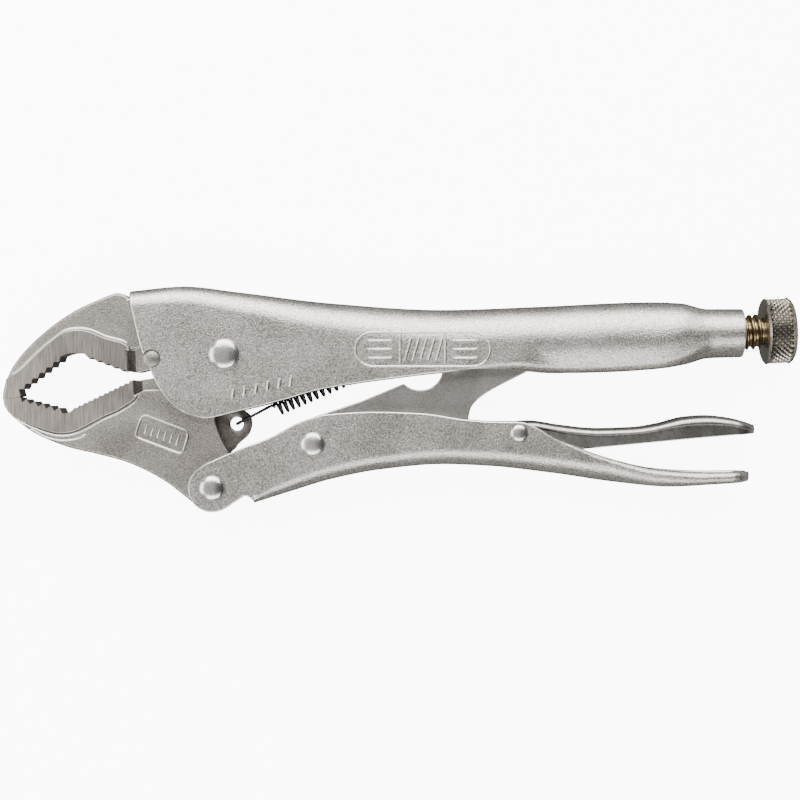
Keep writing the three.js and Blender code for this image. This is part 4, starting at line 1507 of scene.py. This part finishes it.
@dataclass
class Rivet:
    """A shank with a domed head on each cheek."""

    node: str
    body: str
    place: Point
    head: float
    shank: float
    rise: float
    gap: float = 0.15

    def build(self) -> None:
        """Makes and dresses the rivet."""
        seat = CHEEK_OUT + self.gap
        skirt = self.rise * 0.16
        dome = []
        for k in range(13):
            a = math.pi / 2 * k / 12
            dome.append((seat + skirt + (self.rise - skirt) * math.cos(a) ** 0.9, self.head * math.sin(a) ** 0.92))
        upper = [(-seat, self.shank), (seat, self.shank), (seat, self.head - 0.15), (seat + 0.12, self.head),
                 *dome[::-1]]
        profile = [(-h, r) for h, r in upper[:1:-1]] + upper
        piece = lathe(f"{self.node}_domes", profile, 56)
        smooth(piece, weighted=False, angle=50)
        stand(piece, at(*self.place))
        dress(coat(piece, DOME_NICKEL), self.body, self.node)


# ---------------------------------------------------------------- spring


@dataclass
class JawSpring:
    """The close-coiled spring between the movable jaw's tab and the lug in the handle."""

    front: Point = (3.3, -22.4)
    rear: Point = (62.7, 3.5)
    wire_radius: float = 0.5
    coil_radius: float = 2.3
    sag: float = 0.55
    pitch: float = 1.88
    loosening: float = 0.05
    widest: float = 2.45
    coil_start: float = 74.0
    clear_tab: float = 2.61
    clear_lug: float = 2.06
    coil_from: float = 13.6
    coil_to: float = 8.0
    around: int = 16

    def build(self) -> None:
        """Makes and dresses the spring."""
        start, end = Vector((*self.front, 0)), Vector((*self.rear, 0))
        length = (end - start).length
        axis = (end - start).normalized()
        across = Vector((-axis.y, axis.x, 0))

        def place(s: float, side: float, z: float) -> tuple[float, float, float]:
            """A point beside the spring's own axis."""
            return tuple(start + axis * s + across * side + Vector((0, 0, z)))

        head = [place(0.6, 0, -self.clear_tab - 0.5), place(0.1, 0, -0.8), place(0.1, 0, 1.2),
                place(1.2, 0.05, self.clear_tab), place(3.0, 0.15, self.clear_tab), place(8.0, 0.5, 2.5),
                place(12.2, 0.85, 2.3), place(13.1, 0.7, 2.2)]
        last = length - self.coil_to
        coil, s, turn = [], self.coil_from, 0
        while s < last:
            angle = math.radians(self.coil_start) - 2 * math.pi * turn / self.around
            coil.append(place(s, self.coil_radius * math.cos(angle) - self.sag, self.coil_radius * math.sin(angle)))
            s += min(self.pitch + self.loosening * turn / self.around, self.widest) / self.around
            turn += 1
        tail = [place(length - 6, 1, 1.2), place(length - 3.4, 0.2, self.clear_lug),
                place(length - 1, 0, self.clear_lug), place(length, 0, 0),
                place(length - 0.2, 0, -self.clear_lug - 0.5)]
        path = flowing([*head, coil[0]], 8)[:-1] + coil + flowing([coil[-1], *tail], 8)[1:]
        piece = wire("jaw_spring_wire", [Vector(p) * MM for p in path], self.wire_radius, sides=3)
        smooth(piece, weighted=False, angle=50)
        dress(coat(piece, BLACK_WIRE), "", "jaw_spring")
        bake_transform(piece)


# ---------------------------------------------------------------- the room


@dataclass(frozen=True)
class Softbox:
    """One rectangular studio light, aimed at the middle of the tool.

    Attributes:
        name: Its name.
        towards: Which way it hangs, seen from above, in degrees from +X.
        lean: Its angle from straight overhead.
        size: Its length and its height in metres.
        glow: How bright its face is.
        reach: Its distance.
    """

    name: str
    towards: float
    lean: float
    size: tuple[float, float]
    glow: float
    reach: float = 1.6

    def build(self) -> None:
        """Hangs the light."""
        lamp = bpy.data.lights.new(self.name, "AREA")
        lamp.shape = "RECTANGLE"
        lamp.size, lamp.size_y = self.size
        lamp.energy = self.glow * math.pi * self.size[0] * self.size[1]
        holder = bpy.data.objects.new(self.name, lamp)
        bpy.context.scene.collection.objects.link(holder)
        turn, lean = math.radians(self.towards), math.radians(self.lean)
        place = Vector((math.sin(lean) * math.cos(turn), math.sin(lean) * math.sin(turn), math.cos(lean))) * self.reach
        holder.location = place
        holder.rotation_euler = place.to_track_quat("Z", "Y").to_euler()
        holder.visible_camera = False


@dataclass
class Studio:
    """A pale floor that runs up into a pale wall all round, three softboxes and the camera straight above."""

    floor_size: float = 9.0
    wall: float = 4.4
    height: float = 0.5608
    aim: Point = (0.0002, -0.00036)
    lens: float = 76.2
    floor_glow: float = 9.0
    boxes: Sequence[Softbox] = (
        Softbox("box_behind", 92.0, 52.0, (1.9, 1.5), 7.0),
        Softbox("box_front", -90.0, 41.0, (1.6, 0.72), 4.5),
        Softbox("box_left", 180.0, 58.0, (1.3, 1.1), 3.8),
    )

    def backdrop(self) -> None:
        """The floor and the wall, seen by the camera and shaded by the tool, but not mirrored in it."""
        bpy.ops.object.select_all(action="DESELECT")
        bpy.ops.mesh.primitive_plane_add(size=self.floor_size, location=(0, 0, -0.0001))
        floor = named("floor")
        bpy.ops.object.select_all(action="DESELECT")
        bpy.ops.mesh.primitive_uv_sphere_add(segments=48, ring_count=24, radius=self.wall)
        wall = named("wall")
        for piece, grey, glow in ((floor, 0.9, self.floor_glow), (wall, 0.0, self.floor_glow + 2.0)):
            paint = bpy.data.materials.new(f"pale_{piece.name}")
            paint.use_nodes = True
            board = Board(paint.node_tree)
            shader = board.put(
                "BsdfPrincipled",
                {
                    "Base Color": (grey, grey, grey, 1.0),
                    "Roughness": 1.0,
                    "Specular IOR Level": 0.0,
                    "Emission Color": (1.0, 1.0, 1.0, 1.0),
                    "Emission Strength": glow,
                },
            )
            board.put("OutputMaterial", {"Surface": shader.outputs[0]})
            piece.data.materials.append(paint)
            piece.visible_glossy = False
            piece.visible_diffuse = False
            piece.visible_shadow = False

    def room(self) -> None:
        """The rest of the room: grey overhead, darker towards the knob, with a pale band round the horizon."""
        world = bpy.data.worlds.new("room")
        bpy.context.scene.world = world
        world.use_nodes = True
        board = Board(world.node_tree)
        way = board.put("SeparateXYZ", {0: board.put("TexCoord").outputs["Generated"]})

        def fade(axis: int, start: float, end: float, first: float, last: float) -> bpy.types.NodeSocket:
            """A value that runs smoothly from first to last along one axis of the view."""
            limits = {0: way.outputs[axis], 1: start, 2: end, 3: first, 4: last}
            return board.put("MapRange", limits, interpolation_type="SMOOTHSTEP").outputs[0]

        overhead = {0: fade(0, 0.0, 0.14, 0.45, 0.05), 1: fade(2, 0.45, -0.2, 1.0, 0.28)}
        around = {0: fade(2, 0.3, 0.0, 0.0, 0.42), 1: fade(2, -0.55, -0.85, 1.0, 0.1)}
        shares = [board.put("Math", pair, operation="MULTIPLY").outputs[0] for pair in (overhead, around)]
        total = board.put("Math", dict(enumerate(shares)), operation="MAXIMUM")
        glow = board.put("Background", {"Color": (1.0, 0.995, 0.985, 1.0), "Strength": total.outputs[0]})
        board.put("OutputWorld", {"Surface": glow.outputs[0]})

    def build(self) -> None:
        """Sets the room up."""
        self.backdrop()
        self.room()
        for box in self.boxes:
            box.build()
        lens = bpy.data.cameras.new("camera")
        lens.lens = self.lens
        lens.clip_start = 0.01
        camera = bpy.data.objects.new("camera", lens)
        bpy.context.scene.collection.objects.link(camera)
        camera.location = (*self.aim, self.height)
        bpy.context.scene.camera = camera


def main() -> None:
    """Builds the room and then the tool, piece by piece."""
    logging.basicConfig(level=logging.INFO, format="%(name)s: %(message)s")
    Studio().build()
    line = ScrewLine()
    makers = (
        UpperHandle(),
        FixedJaw(),
        MovableJaw(),
        LowerHandle(),
        ToggleLink(),
        ReleaseLever(),
        AdjustingScrew(line),
        AdjustingKnob(line),
        Rivet("main_pivot_rivet", "upper_frame", (0.0, 0.0), 4.95, 3.6, 1.8),
        Rivet("jaw_handle_rivet", "lower_grip", (-3.9, -42.9), 4.1, 2.9, 1.65),
        Rivet("link_rivet", "lower_grip", (28.3, -28.8), 3.9, 2.8, 1.6),
        Rivet("lever_pin", "lower_grip", (94.3, -25.3), 2.8, 1.9, 1.1),
        JawSpring(),
    )
    for maker in makers:
        maker.build()


if __name__ == "__main__":
    main()
